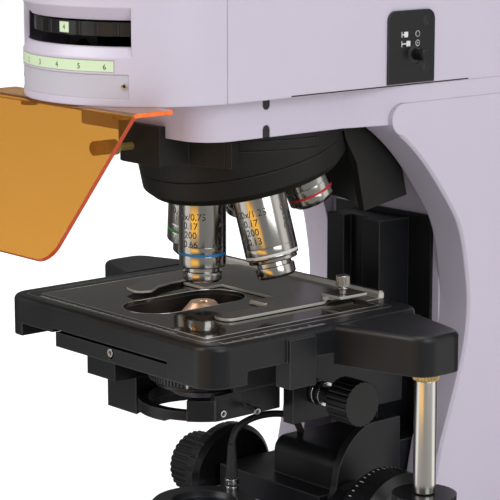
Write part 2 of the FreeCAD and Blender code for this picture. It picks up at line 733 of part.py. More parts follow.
def station(angle):
    """Shoulder point and direction of the objective at an angle round the turret."""
    centre, axis, rising = turret_frame()
    turn = math.radians(angle)
    tilt = math.radians(turret_tilt)
    outward = rising * -math.cos(turn) + X_AXIS * math.sin(turn)
    return centre + outward * objective_circle, axis * math.cos(tilt) + outward * math.sin(tilt)


def slider_block(start, end, inner, outer, z0, z1):
    """Block beside the turret: start and end run along the slider, inner and outer are distances before it."""
    shape = block(start, end, -outer, -inner, z0, z1)
    shape.rotate(V(0, 0, 0), Z_AXIS, slider_turn)
    shape.translate(V(0, slider_centre_y, 0))
    return shape


def make_nosepiece():
    """Fixed mount, rotating turret, slider and clamping screw."""
    centre, axis, rising = turret_frame()
    top_face = centre - axis * turret_body_height
    under_arm = block(-200, 200, -200, 200, 200, arm_bottom)
    cylinder = rod(turret_radius, 70, centre + axis * 2, -axis)
    body = cylinder.common(under_arm)
    front = block(front_block_left, front_block_right, front_block_front, 0, front_block_bottom, front_block_top)
    front = round_upright(front, front_block_round, lambda p: p.x < 0 and p.y < front_block_front + 1)
    front = front.cut(block(-arm_half_width, arm_half_width, arm_front, arm_half_width, arm_bottom,
                            front_block_top + 1))
    guide = slider_block(guide_left, guide_right, 30.0, guide_outer, guide_bottom, arm_bottom - 1)
    lobe_line = [(62, arm_bottom), (84, arm_bottom), (100, 272), (111, 256), (115, 240), (82, 234.5), (76, 262)]
    lobe = side_prism(lobe_line, -42, 42)
    keep_out = turned([(0, -turret_body_height - slide_gap), (turret_crown_radius + slide_gap,
                       -turret_body_height - slide_gap), (turret_radius + 1, -turret_crown_height - slide_gap),
                       (turret_radius + 1, 60), (0, 60)], centre, axis)
    slider_way = slider_block(slider_left - slide_gap, slider_way_end + 1, slider_inner - slide_gap,
                              slider_outer + slide_gap, slider_bottom - slide_gap, slider_top + slide_gap)
    mount = join(body, front)
    mount = join(mount, guide)
    mount = join(mount, lobe).cut([keep_out, slider_way])
    pivot = rod(6.0, 18, top_face - axis * 1.0, axis)
    light_way = rod(arm_bore_radius, 60, V(0, 0, 240))
    screw_hole = rod(2.0, 17, V(clamp_screw_x, -60, clamp_screw_z), Y_AXIS)
    mount = join(mount, pivot).cut([light_way, screw_hole])
    save("nosepiece_mount", mount)

    slider = slider_block(slider_left, slider_right, slider_inner, slider_outer, slider_bottom, slider_top)
    tail = slider_block(slider_right - 1, slider_way_end, slider_inner, slider_outer, slider_bottom, slider_top)
    slider = join(slider, tail.common(cylinder)).cut(keep_out)
    cap = slider_block(guide_right + slide_gap, guide_right + 4.0, slider_outer - 1.0, guide_outer,
                       guide_bottom, slider_top + 0.5)
    window = rod(slider_window_radius, 20, V(0, 0, slider_bottom - 5))
    save("nosepiece_slider", join(slider, cap).cut(window))

    drum = turned([(0, -turret_body_height), (turret_crown_radius, -turret_body_height),
                   (turret_radius, -turret_crown_height), (turret_radius, turret_rim_drop - 4),
                   (turret_radius - 3.5, turret_rim_drop), (turret_radius - 6.5, turret_rim_drop),
                   (turret_radius - 6.5, -turret_cavity_top), (0, -turret_cavity_top)], centre, axis)
    seats = []
    holes = [rod(6.0 + shaft_gap, 17.3, top_face - axis * 1.0, axis)]
    for index in range(6):
        shoulder, direction = station(60.0 * index)
        seats.append(rod(14.5, 9.0, shoulder - direction * 9.0, direction))
        holes.append(rod(objective_thread_radius, 40, shoulder - direction * 30, direction))
    envelope = turned([(0, -turret_body_height), (turret_crown_radius, -turret_body_height),
                       (turret_radius, -turret_crown_height), (turret_radius, 40), (0, 40)], centre, axis)
    drum = join(drum, *seats).common(envelope)
    save("objective_turret", drum.cut(holes))


def make_objective(name, angle, barrel_radius, length, nose_radius, nose_length):
    """Objective barrel along its own axis, with its thread in the turret."""
    shoulder, direction = station(angle)
    body_end = length - nose_length
    thread = objective_thread_radius - shaft_gap
    profile = [(8.0, -4.5), (thread, -4.5), (thread, 0), (barrel_radius - 0.8, 0), (barrel_radius - 0.8, 5),
               (barrel_radius, 5.8), (barrel_radius, body_end - 1.5), (barrel_radius - 1.5, body_end),
               (nose_radius, body_end), (nose_radius, length - 2.5), (nose_radius - 2.5, length), (3.2, length),
               (3.2, length - 6), (8.0, length - 14)]
    save("objective_" + name, turned(profile, shoulder, direction))


def make_sprung_objective(name, angle, barrel_radius, length, nose_radius, nose_length):
    """High-power objective whose nose slides back into the barrel."""
    shoulder, direction = station(angle)
    body_end = length - nose_length
    thread = objective_thread_radius - shaft_gap
    bore = nose_radius - 1.2
    barrel = [(8.0, -4.5), (thread, -4.5), (thread, 0), (barrel_radius - 0.8, 0), (barrel_radius - 0.8, 5),
              (barrel_radius, 5.8), (barrel_radius, body_end - 1.2), (barrel_radius - 1.2, body_end),
              (bore + shaft_gap, body_end), (bore + shaft_gap, body_end - 18), (8.0, body_end - 18)]
    save("objective_" + name, turned(barrel, shoulder, direction))
    gap = 2.6
    nose = [(3.0, body_end - 15), (bore, body_end - 15), (bore, body_end + gap), (nose_radius, body_end + gap),
            (nose_radius, length - 2.0), (nose_radius - 2.5, length), (3.0, length)]
    save("objective_" + name + "_nose", turned(nose, shoulder, direction))


def make_objectives():
    """Five objectives and the plug in the empty place."""
    make_sprung_objective("40x", 0.0, 13.0, 58.5, 10.8, 8.5)
    make_sprung_objective("100x", 60.0, 14.5, 58.5, 10.8, 9.0)
    make_objective("4x", 120.0, 13.0, 30.0, 11.0, 4.0)
    make_objective("10x", -120.0, 12.5, 46.0, 9.5, 8.0)
    make_objective("20x", -60.0, 13.0, 56.0, 9.5, 9.0)
    shoulder, direction = station(180.0)
    thread = objective_thread_radius - shaft_gap
    plug = turned([(0, -5), (thread, -5), (thread, 0), (13.5, 0), (13.5, 2.5), (12.5, 3.5), (0, 3.5)],
                  shoulder, direction)
    save("turret_plug", plug)


def make_arm():
    """Arm casting with the pin on which the filter wheel turns."""
    front_line = [(-arm_half_width, arm_front), (arm_half_width, arm_front), (arm_half_width, 50),
                  (cover_half_width, 90), (cover_half_width, base_back), (-cover_half_width, base_back),
                  (-cover_half_width, 90), (-arm_half_width, 50)]
    slab = plan_prism(front_line, arm_bottom, cover_bottom)
    slab = round_upright(slab, arm_corner_radius, lambda p: p.y < arm_front + 1)
    covers = [side_cover(1), side_cover(-1)]
    bore = rod(arm_bore_radius, 60, V(0, 0, arm_bottom - 10))
    notches = []
    for sign in (1, -1):
        for z0, z1 in ((arm_bottom - 1, arm_bottom + 4), (cover_bottom - 4, cover_bottom + 1)):
            low_x, high_x = sorted(((arm_half_width - 3) * sign, (arm_half_width + 2) * sign))
            end_z = z1 if z0 < arm_bottom else z0
            end = rod(2.5, high_x - low_x, V(low_x, -4.5, end_z), X_AXIS)
            notches.append(join(block(low_x, high_x, -7, -2, z0, z1), end))
    arm = slab.cut(covers + [bore] + notches)
    arm = join(arm, rod(turret_pin_radius, wheel_top - cover_bottom, V(0, head_centre_y, cover_bottom)))
    save("arm_casting", arm)


def make_covers():
    """Round front cover with its wheel window, and the long rear cover."""
    front_line = rod(cover_half_width, cover_top - cover_bottom, V(0, head_centre_y, cover_bottom))
    keep_front = block(-200, 200, -300, cover_seam_y, 0, 600)
    shell = front_line.common(keep_front)
    shell = round_level(shell, 7.0, cover_top, lambda p: p.y < cover_seam_y - 1)
    hollow = rod(cover_half_width - cover_wall, wheel_top + slide_gap * 4 - cover_bottom - cover_wall,
                 V(0, head_centre_y, cover_bottom + cover_wall))
    window = sector(0, cover_half_width + 5, wheel_bottom - window_gap, wheel_top + window_gap, window_half_angle)
    inner = wheel_radius + 0.8
    outer = cover_half_width + 0.5
    scoops = turned([(inner, wheel_bottom - window_gap), (outer, lower_scoop_start), (outer + 9, lower_scoop_start),
                     (outer + 9, upper_scoop_end), (outer, upper_scoop_end), (inner, wheel_top + window_gap)])
    scoops.translate(V(0, head_centre_y, 0))
    front_wedge = sector(0, cover_half_width + 12, lower_scoop_start, upper_scoop_end, window_half_angle)
    scoops = scoops.common(front_wedge)
    strip_room = sector(cover_half_width - strip_thickness, cover_half_width + 5, strip_bottom, strip_top,
                        strip_half_angle)
    access_room = sector(cover_half_width - 1.5, cover_half_width + 5, access_bottom, access_top, access_half_angle)
    pin_hole = rod(turret_pin_radius + shaft_gap, 20, V(0, head_centre_y, cover_bottom - 5))
    cover = shell.cut([hollow, window, scoops, strip_room, access_room, pin_hole])
    shield_screws = []
    for x in (-shield_screw_x, shield_screw_x):
        shield_screws.append(rod(2.0, 4, V(x, shield_screw_y, cover_bottom - 1)))
    save("front_cover", cover.cut(shield_screws))

    access = sector(cover_half_width - 1.5, cover_half_width - 0.3, access_bottom, access_top, access_half_angle)
    save("filter_access_plate", access)

    rear = block(-cover_half_width, cover_half_width, cover_seam_y, base_back, cover_bottom, cover_top)
    rear = rear.makeFillet(7.0, [e for e in rear.Edges if abs(e.CenterOfMass.z - cover_top) < 1e-4
                                 and abs(abs(e.CenterOfMass.x) - cover_half_width) < 1e-4])
    inner = block(-cover_half_width + cover_wall, cover_half_width - cover_wall, cover_seam_y - 1,
                  base_back - cover_wall, cover_bottom - 1, cover_top - 2 * cover_wall)
    head_bore = rod(head_mount_radius + shaft_gap, 20, V(0, 0, cover_top - 10))
    stop_bore = rod(stop_rod_radius + shaft_gap, 10, V(cover_half_width - 5, stop_rod_y, stop_rod_z), X_AXIS)
    lamp_bore = rod(20, 10, V(0, base_back - 5, 336), Y_AXIS)
    save("rear_cover", rear.cut([inner, head_bore, stop_bore, lamp_bore]))


def make_filter_turret():
    """Scalloped filter wheel on its pin, and the filter cubes under it."""
    centre = V(0, head_centre_y, 0)
    wheel = rod(wheel_radius, wheel_top - wheel_bottom, centre + V(0, 0, wheel_bottom))
    scallop = rod(2.2, wheel_top - wheel_bottom, centre + V(wheel_radius + 1.2, 0, wheel_bottom))
    hub = rod(turret_pin_radius + 5, wheel_bottom - cover_bottom - cover_wall - slide_gap,
              centre + V(0, 0, cover_bottom + cover_wall + slide_gap))
    light = rod(9.0, 20, centre + V(0, cube_circle, wheel_bottom - 2))
    wheel = wheel.cut(ring_of(scallop, wheel_groove_count, centre, Z_AXIS, 5.0))
    wheel = wheel.cut(ring_of(light, cube_count, centre, Z_AXIS))
    bore = rod(turret_pin_radius + shaft_gap, 80, centre + V(0, 0, cover_bottom))
    save("filter_wheel", join(wheel, hub).cut(bore))

    half = cube_size / 2
    cube = block(-half, half, head_centre_y + cube_circle - half, head_centre_y + cube_circle + half,
                 wheel_bottom - cube_size, wheel_bottom)
    light_up = rod(9.0, cube_size + 2, centre + V(0, cube_circle, wheel_bottom - cube_size - 1))
    light_in = rod(8.0, half + 1, centre + V(0, cube_circle, wheel_bottom - half), Y_AXIS)
    cube = cube.cut([light_up, light_in])
    save("filter_cubes", *ring_of(cube, cube_count, centre, Z_AXIS))


def make_field_stop():
    """Black panel on the right of the arm and its push-pull rod."""
    panel = block(cover_half_width, cover_half_width + stop_panel_thickness, stop_panel_front, stop_panel_back,
                  stop_panel_bottom, stop_panel_top)
    picked = []
    for edge in panel.Edges:
        along = edge.BoundBox
        if abs(along.XMax - along.XMin) > 1 and along.ZMin > stop_panel_top - 1:
            picked.append(edge)
    panel = panel.makeFillet(5.5, picked)
    rod_hole = rod(stop_hole_radius, 5, V(cover_half_width - 1, stop_rod_y, stop_rod_z), X_AXIS)
    small_holes = [rod(2.1, 5, V(cover_half_width - 1, stop_rod_y + 7.3, z), X_AXIS) for z in (341, 315.6)]
    save("field_stop_panel", panel.cut([rod_hole] + small_holes))
    stem = rod(stop_rod_radius, 36, V(cover_half_width - 30, stop_rod_y, stop_rod_z), X_AXIS)
    knob = turned([(0, 0), (2.6, 0), (3.2, 1.2), (3.2, 7.4), (2.6, 8.2), (0, 8.2)],
                  V(cover_half_width + 1.0, stop_rod_y, stop_rod_z), X_AXIS)
    save("field_stop_rod", join(stem, knob))


def make_shield():
    """Amber acrylic shield: a flange under the head and a panel that slopes to the front."""
    top = cover_bottom
    slope = math.radians(shield_slope)
    down = V(0, -math.cos(slope), -math.sin(slope))
    outward = V(0, -math.sin(slope), math.cos(slope))
    corner = V(0, shield_bend_y, top)
    knee = V(0, shield_bend_y + shield_thickness * math.tan((math.pi / 2 - (math.pi / 2 - slope)) / 2),
             top - shield_thickness)
    end = corner + down * shield_length
    outline = [V(0, shield_flange_back, top), corner, end, end - outward * shield_thickness, knee,
               V(0, shield_flange_back, top - shield_thickness)]
    shape = prism([point - X_AXIS * shield_half_width for point in outline], X_AXIS * (2 * shield_half_width))
    rounded = []
    for edge in shape.Edges:
        middle = edge.CenterOfMass
        if edge.Length < shield_thickness * 1.2 and middle.z < end.z + 6:
            rounded.append(edge)
    shape = shape.makeFillet(shield_corner_radius, rounded)
    for radius, target in ((2.0 + shield_thickness, corner), (2.0, V(0, knee.y, knee.z))):
        chosen = [edge for edge in shape.Edges if edge.Length > shield_half_width
                  and (edge.CenterOfMass - target).Length < 0.5]
        shape = shape.makeFillet(radius, chosen)
    holes = [rod(2.0, 6, V(x, shield_screw_y, top - 5)) for x in (-shield_screw_x, shield_screw_x)]
    save("amber_shield", shape.cut(holes))
    screws = []
    for x in (-shield_screw_x, shield_screw_x):
        head = grooved(4.5, 4.0, V(x, shield_screw_y, top - shield_thickness - 4.0), Z_AXIS, screw_flute_count, 0.4)
        screws.append(join(head, rod(2.0, shield_thickness + 3, V(x, shield_screw_y, top - shield_thickness))))
    handle = grooved(3.8, 15, V(clamp_screw_x, clamp_screw_front, clamp_screw_z), Y_AXIS, screw_flute_count, 0.4)
    screws.append(join(handle, rod(2.0, 30, V(clamp_screw_x, clamp_screw_front + 1, clamp_screw_z), Y_AXIS)))
    save("thumbscrews", *screws)


def make_lamp_house():
    """Lamp house behind the arm, with cooling fins."""
    middle_z = (lamp_house_bottom + lamp_house_top) / 2
    neck = rod(19.5, 16, V(0, base_back - 3, middle_z + 3), Y_AXIS)
    housing = block(-lamp_house_half_width, lamp_house_half_width, base_back + 12, lamp_house_back,
                    lamp_house_bottom, lamp_house_top)
    housing = housing.makeFillet(7.0, [e for e in housing.Edges if e.BoundBox.YMax - e.BoundBox.YMin > 10])
    grooves = []
    for index in range(lamp_fin_count):
        y = base_back + 22 + 5.6 * index
        ring = block(-60, 60, y, y + 2.6, lamp_house_bottom - 5, lamp_house_top + 5)
        core = block(-lamp_house_half_width + 4, lamp_house_half_width - 4, y - 1, y + 4,
                     lamp_house_bottom + 4, lamp_house_top - 4)
        grooves.append(ring.cut(core))
    save("lamp_house", join(housing.cut(grooves), neck))


def view_frame():
    """Origin of the swing axis, the viewing direction and the direction square to it in the middle plane."""
    tilt = math.radians(view_angle)
    toward_eye = V(0, -math.cos(tilt), math.sin(tilt))
    upward = V(0, math.sin(tilt), math.cos(tilt))
    return V(0, swing_axis_y, swing_axis_z), toward_eye, upward


def make_head():
    """Viewing head on its round mount, with the photo tube and two swinging eyepiece arms."""
    origin, toward_eye, upward = view_frame()
    side_line = [(-40, cover_top + 2), (62, cover_top + 2), (66, 400), (66, 432), (52, 446), (-6, 446), (-40, 410)]
    body = side_prism(side_line, -36, 36)
    body = body.makeFillet(6.0, [e for e in body.Edges if e.BoundBox.XMax - e.BoundBox.XMin < 1e-4
                                 and e.CenterOfMass.z > cover_top + 8])
    mount = rod(head_mount_radius, head_mount_height + 2, V(0, 0, cover_top - head_mount_height))
    nose = rod(30, 44, origin - toward_eye * 20, toward_eye)
    photo = turned([(20, 440), (20, 466), (22, 468), (22, 478), (12, 478), (12, 440)], V(0, 38, 0))
    pivot = rod(pivot_radius, 2 * arm_disc_thickness + 8, origin + toward_eye * 20, toward_eye)
    head = join(body, nose)
    head = join(head, mount)
    head = join(head, photo)
    save("viewing_head", join(head, pivot))

    climb = math.sqrt(swing_radius ** 2 - eye_half_distance ** 2)
    for name, sign, layer in (("left", -1, 0), ("right", 1, 1)):
        start = 24 + slide_gap + layer * (arm_disc_thickness + slide_gap)
        centre = origin + toward_eye * start
        offset = X_AXIS * (eye_half_distance * sign) + upward * climb
        disc = rod(arm_disc_radius, arm_disc_thickness, centre, toward_eye)
        lobe = rod(tube_radius + 3, arm_disc_thickness, centre + offset, toward_eye)
        along = offset * (1.0 / offset.Length)
        across = along.cross(toward_eye)
        web_points = [centre + across * (arm_disc_radius - 1), centre - across * (arm_disc_radius - 1),
                      centre + offset - across * tube_radius, centre + offset + across * tube_radius]
        web = prism(web_points, toward_eye * arm_disc_thickness)
        sleeve = rod(tube_radius, 84 - start, centre + offset, toward_eye)
        arm = join(disc, lobe, web)
        arm = join(arm, sleeve)
        arm = arm.cut(rod(pivot_radius + shaft_gap, 60, centre - toward_eye * 5, toward_eye))
        arm = arm.cut(rod(12.0, 30, origin + offset + toward_eye * 62, toward_eye))
        save("eyepiece_arm_" + name, arm)
        eyepiece = turned([(12.0 - shaft_gap, -18), (12.0 - shaft_gap, 0), (eyepiece_radius, 0),
                           (eyepiece_radius, 10), (eyepiece_radius + 2, 12), (eyepiece_radius + 2, 24),
                           (eyepiece_radius, 27), (eyepiece_radius + 1.5, 34), (12.5, 34), (11, 28), (0, 27),
                           (0, -18)], origin + offset + toward_eye * 84, toward_eye)
        save("eyepiece_" + name, eyepiece)


def smooth_path(points):
    """Straight runs joined by tangent arcs; prints the arc radii."""
    edges = []
    start = points[0]
    for index in range(1, len(points) - 1):
        before = points[index] - points[index - 1]
        after = points[index + 1] - points[index]
        turn = before.getAngle(after)
        radius = 0.45 * min(before.Length, after.Length) / math.tan(turn / 2)
        cut = radius * math.tan(turn / 2)
        incoming = before.normalize()
        outgoing = after.normalize()
        first = points[index] - incoming * cut
        last = points[index] + outgoing * cut
        toward = outgoing - incoming
        toward.normalize()
        hub = points[index] + toward * (radius / math.cos(turn / 2))
        middle = hub - toward * radius
        edges.append(Part.LineSegment(start, first).toShape())
        edges.append(Part.Arc(first, middle, last).toShape())
        start = last
        print("cable arc radius", round(radius, 1))
    edges.append(Part.LineSegment(start, points[-1]).toShape())
    return Part.Wire(edges)


def make_cable():
    """Plug in the field lens housing and the short lead to the focus housing."""
    top = hump_top + field_housing_height
    plug = turned([(0, -5), (plug_radius - 1.0, -5), (plug_radius - 1.0, 0), (plug_radius + 0.5, 0),
                   (plug_radius + 0.5, 3.2), (plug_radius, 3.6), (plug_radius, 4.6), (plug_radius + 0.4, 5.0),
                   (plug_radius + 0.4, plug_height), (0, plug_height)], V(cable_x, cable_y, top))
    boot_bottom = top + plug_height
    boot = turned([(0, boot_bottom), (plug_radius + 0.1, boot_bottom), (cable_diameter / 2 + 0.3, boot_top),
                   (0, boot_top)], V(cable_x, cable_y, 0))
    save("lamp_lead_plug", plug, boot)
    route = [(cable_y, boot_top), (cable_y + 1.2, 106), (cable_y + 7, 110.6), (45, 112.8), (57, 112.4), (68, 110),
             (76.5, 105), (79.5, focus_block_top)]
    points = [V(cable_x, y, z) for y, z in route]
    path = smooth_path(points)
    section = Part.Wire(Part.makeCircle(cable_diameter / 2, points[0], points[1] - points[0]))
    lead = path.makePipeShell([section], True, False)
    expected = math.pi * cable_diameter ** 2 / 4 * path.Length
    print("lead length", round(path.Length, 1), "volume ratio", round(lead.Volume / expected, 4))
    lead = lead.cut(block(-60, 60, 0, 50, 60, boot_top))
    save("lamp_lead", lead.cut(block(-60, 60, 60, 120, 60, focus_block_top)))


def main():
    """Build every piece."""
    os.makedirs("parts", exist_ok=True)
    make_base()
    make_column()
    make_focus_housing()
    make_focus_knobs()
    make_bracket()
    make_condenser()
    make_stage()
    make_specimen_holder()
    make_nosepiece()
    make_objectives()
    make_arm()
    make_covers()
    make_filter_turret()
    make_field_stop()
    make_shield()
    make_lamp_house()
    make_head()
    make_cable()


main()
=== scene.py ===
import math
import bmesh
import bpy
import numpy as np
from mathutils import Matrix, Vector


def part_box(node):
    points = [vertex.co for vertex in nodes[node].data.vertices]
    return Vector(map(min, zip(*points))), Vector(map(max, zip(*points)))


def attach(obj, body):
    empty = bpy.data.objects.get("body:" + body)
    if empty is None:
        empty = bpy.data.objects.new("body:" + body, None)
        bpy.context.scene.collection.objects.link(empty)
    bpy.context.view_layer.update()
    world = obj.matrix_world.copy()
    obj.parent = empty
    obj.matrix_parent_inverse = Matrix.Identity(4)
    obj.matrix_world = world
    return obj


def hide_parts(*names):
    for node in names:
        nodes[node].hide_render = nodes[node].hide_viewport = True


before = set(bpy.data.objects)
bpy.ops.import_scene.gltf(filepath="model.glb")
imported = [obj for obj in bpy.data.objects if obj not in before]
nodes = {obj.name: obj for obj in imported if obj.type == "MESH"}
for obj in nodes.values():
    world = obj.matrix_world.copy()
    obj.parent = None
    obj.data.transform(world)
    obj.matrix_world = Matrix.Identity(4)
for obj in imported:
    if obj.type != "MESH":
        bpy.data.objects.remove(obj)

# Upright fluorescence microscope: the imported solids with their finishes, and the detailed pieces on them.
# Pieces are written in millimetres about the optical axis, as the solids were, and at() places them.

scene = bpy.context.scene
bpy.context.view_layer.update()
lensLow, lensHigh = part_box("condenser_top_lens")
axisX = (lensLow.x + lensHigh.x) / 2
axisY = (lensLow.y + lensHigh.y) / 2


def at(x, y, z):
    return Vector((axisX + x * 0.001, axisY + y * 0.001, z * 0.001))


# Camera: level distance 1140 mm from the optical axis, tipped 11 degrees down
cameraSpec = {"place": (881.0, -723.6, 436.0), "view": (-0.758, 0.652, -0.1926), "lens": 152.6, "clip": (0.05, 20.0)}
camera = bpy.data.objects.new("camera", bpy.data.cameras.new("camera"))
scene.collection.objects.link(camera)
scene.camera = camera
camera.location = at(*cameraSpec["place"])
camera.rotation_mode = "QUATERNION"
camera.rotation_quaternion = Vector(cameraSpec["view"]).to_track_quat("-Z", "Y")
camera.data.lens = cameraSpec["lens"]
camera.data.clip_start, camera.data.clip_end = cameraSpec["clip"]

# Lamps: square area lamps that face the middle of the object; sizes in metres, power in watts
lampAim = at(0, 40, 230)
lampSpecs = [
    {"name": "key_lamp", "place": (-700, -1500, 1500), "size": 1.3, "power": 22.0, "color": (1.0, 0.985, 0.97)},
    {"name": "side_lamp", "place": (1700, -300, 900), "size": 1.1, "power": 12.5, "color": (0.97, 0.98, 1.0)},
    {"name": "top_lamp", "place": (0, 100, 1900), "size": 1.2, "power": 9.0, "color": (1.0, 1.0, 1.0)},
]
for spec in lampSpecs:
    lamp = bpy.data.objects.new(spec["name"], bpy.data.lights.new(spec["name"], "AREA"))
    scene.collection.objects.link(lamp)
    lamp.data.size, lamp.data.energy, lamp.data.color = spec["size"], spec["power"], spec["color"]
    lamp.location = at(*spec["place"])
    lamp.rotation_mode = "QUATERNION"
    lamp.rotation_quaternion = (lampAim - lamp.location).to_track_quat("-Z", "Y")


# Node helpers: each adds one node, sets or links what goes into it, and gives what comes out
def setOrLink(tree, socket, value):
    if isinstance(value, (int, float, tuple)):
        socket.default_value = value
    else:
        tree.links.new(value, socket)


def mathNode(tree, operation, first, second, clamp=False):
    node = tree.nodes.new("ShaderNodeMath")
    node.operation = operation
    node.use_clamp = clamp
    setOrLink(tree, node.inputs[0], first)
    setOrLink(tree, node.inputs[1], second)
    return node.outputs[0]


def vectorNode(tree, operation, first, second=None):
    node = tree.nodes.new("ShaderNodeVectorMath")
    node.operation = operation
    setOrLink(tree, node.inputs[0], first)
    if second is not None:
        setOrLink(tree, node.inputs["Scale" if operation == "SCALE" else 1], second)
    return node.outputs["Value" if operation in ("DOT_PRODUCT", "LENGTH") else "Vector"]


def rangeNode(tree, value, start, end, low=0.0, high=1.0, smooth=True):
    node = tree.nodes.new("ShaderNodeMapRange")
    node.interpolation_type = "SMOOTHSTEP" if smooth else "LINEAR"
    for label, number in (("From Min", start), ("From Max", end), ("To Min", low), ("To Max", high)):
        node.inputs[label].default_value = number
    tree.links.new(value, node.inputs["Value"])
    return node.outputs["Result"]


def mixColors(tree, factor, first, second):
    node = tree.nodes.new("ShaderNodeMix")
    node.data_type = "RGBA"
    for index, value in ((0, factor), (6, first), (7, second)):
        setOrLink(tree, node.inputs[index], value)
    return node.outputs[2]


def noiseNode(tree, vector, scale, detail):
    node = tree.nodes.new("ShaderNodeTexNoise")
    node.inputs["Detail"].default_value = detail
    tree.links.new(vector, node.inputs["Vector"])
    setOrLink(tree, node.inputs["Scale"], scale)
    return node.outputs[0]


# Room that metal mirrors: grey in front, bright at both sides and dark behind, by the level direction of the ray
roomSpec = {"back": (-0.758, 0.652, 0.0), "warmth": (1.0, 0.985, 0.955), "light": 0.58,
            "stops": [(0.0, 0.30), (0.08, 0.34), (0.22, 0.42), (0.31, 1.0), (0.46, 1.0), (0.55, 0.20), (0.72, 0.06),
                      (0.90, 0.10), (1.0, 0.17)]}


def roomLook(tree, direction):
    towardsBack = vectorNode(tree, "DOT_PRODUCT", direction, roomSpec["back"])
    room = tree.nodes.new("ShaderNodeValToRGB")
    room.color_ramp.interpolation = "EASE"
    for index, (place, value) in enumerate(roomSpec["stops"]):
        stop = room.color_ramp.elements[index] if index < 2 else room.color_ramp.elements.new(place)
        stop.position = place
        stop.color = (*(value * part for part in roomSpec["warmth"]), 1.0)
    tree.links.new(rangeNode(tree, towardsBack, -1.0, 1.0, smooth=False), room.inputs["Fac"])
    return room.outputs["Color"]


# Rays off a mirror alone: glass marks its refracted rays as glossy too
def mirrorRays(tree, path):
    return mathNode(tree, "SUBTRACT", path.outputs["Is Glossy Ray"], path.outputs["Is Transmission Ray"], clamp=True)


# Rays that see the backdrop itself: the camera's own, and those that pass through glass
def seenRays(tree, path):
    return mathNode(tree, "MAXIMUM", path.outputs["Is Camera Ray"], path.outputs["Is Transmission Ray"])


# World: white to the camera and through glass, the room to a mirror, and softer as light
world = bpy.data.worlds.new("studio")
scene.world = world
world.use_nodes = True
worldTree = world.node_tree
worldTree.nodes.clear()
path = worldTree.nodes.new("ShaderNodeLightPath")
direction = worldTree.nodes.new("ShaderNodeTexCoord").outputs["Generated"]
level = rangeNode(worldTree, seenRays(worldTree, path), 0.0, 1.0, roomSpec["light"], 1.0, smooth=False)
skyColor = mixColors(worldTree, mirrorRays(worldTree, path), level, roomLook(worldTree, direction))
sky = worldTree.nodes.new("ShaderNodeBackground")
worldTree.links.new(skyColor, sky.inputs["Color"])
worldOut = worldTree.nodes.new("ShaderNodeOutputWorld")
worldTree.links.new(sky.outputs[0], worldOut.inputs["Surface"])
scene.view_settings.view_transform = "Standard"

# Floor: a wide pale disc that keeps the object's shadow, glows whiter further out for the camera, and shows a
# mirror the room with an amber patch in front of the objectives, a painted reflection of the shield's light; lengths
# in metres
floorSpec = {"radius": 3.0, "sides": 64, "color": (0.82, 0.82, 0.82, 1.0), "fade": (0.3, 1.1), "glow": (0.34, 0.62),
             "amber": (1.9, 1.0, 0.12, 1.0), "amberSide": (0.162, -0.986, 0.0), "amberWidth": (0.90, 0.985),
             "amberNear": (0.88, 0.98), "amberFar": (2.70, 2.20)}
floorMesh = bpy.data.meshes.new("floor")
floorTurns = np.linspace(0, 2 * math.pi, floorSpec["sides"], endpoint=False)
floorRing = [(floorSpec["radius"] * math.cos(t), floorSpec["radius"] * math.sin(t), 0.0) for t in floorTurns]
floorMesh.from_pydata(floorRing, [], [tuple(range(floorSpec["sides"]))])
floor = bpy.data.objects.new("floor", floorMesh)
scene.collection.objects.link(floor)
floorMaterial = bpy.data.materials.new("floor")
floorMaterial.use_nodes = True
floorTree = floorMaterial.node_tree
floorTree.nodes.clear()
floorPath = floorTree.nodes.new("ShaderNodeLightPath")
floorSpot = floorTree.nodes.new("ShaderNodeTexCoord").outputs["Object"]
floorReach = vectorNode(floorTree, "LENGTH", floorSpot)
spotDirection = vectorNode(floorTree, "NORMALIZE", floorSpot)
floorSeen = seenRays(floorTree, floorPath)
floorPower = mathNode(floorTree, "MULTIPLY", floorSeen,
                      rangeNode(floorTree, floorReach, *floorSpec["fade"], *floorSpec["glow"]))
# Amber patch seen only by mirror rays: painted reflection of light through the shield
paintedAmberShare = rangeNode(floorTree, vectorNode(floorTree, "DOT_PRODUCT", spotDirection, floorSpec["amberSide"]),
                       *floorSpec["amberWidth"])
for limits in (floorSpec["amberNear"], floorSpec["amberFar"]):
    paintedAmberShare = mathNode(floorTree, "MULTIPLY", paintedAmberShare, rangeNode(floorTree, floorReach, *limits))
floorShade = floorTree.nodes.new("ShaderNodeBsdfDiffuse")
floorShade.inputs["Color"].default_value = floorSpec["color"]
floorGlow, floorMirrored = (floorTree.nodes.new("ShaderNodeEmission") for _ in range(2))
floorTree.links.new(floorPower, floorGlow.inputs["Strength"])
floorTree.links.new(mixColors(floorTree, paintedAmberShare, roomLook(floorTree, spotDirection), floorSpec["amber"]),
                    floorMirrored.inputs["Color"])
floorSum = floorTree.nodes.new("ShaderNodeAddShader")
floorShown = floorTree.nodes.new("ShaderNodeMixShader")
floorOut = floorTree.nodes.new("ShaderNodeOutputMaterial")
for source, target in ((floorShade.outputs[0], floorSum.inputs[0]), (floorGlow.outputs[0], floorSum.inputs[1]),
                       (mirrorRays(floorTree, floorPath), floorShown.inputs[0]),
                       (floorSum.outputs[0], floorShown.inputs[1]), (floorMirrored.outputs[0], floorShown.inputs[2]),
                       (floorShown.outputs[0], floorOut.inputs["Surface"])):
    floorTree.links.new(source, target)
floorMesh.materials.append(floorMaterial)
print("stage: camera, lamps and floor")

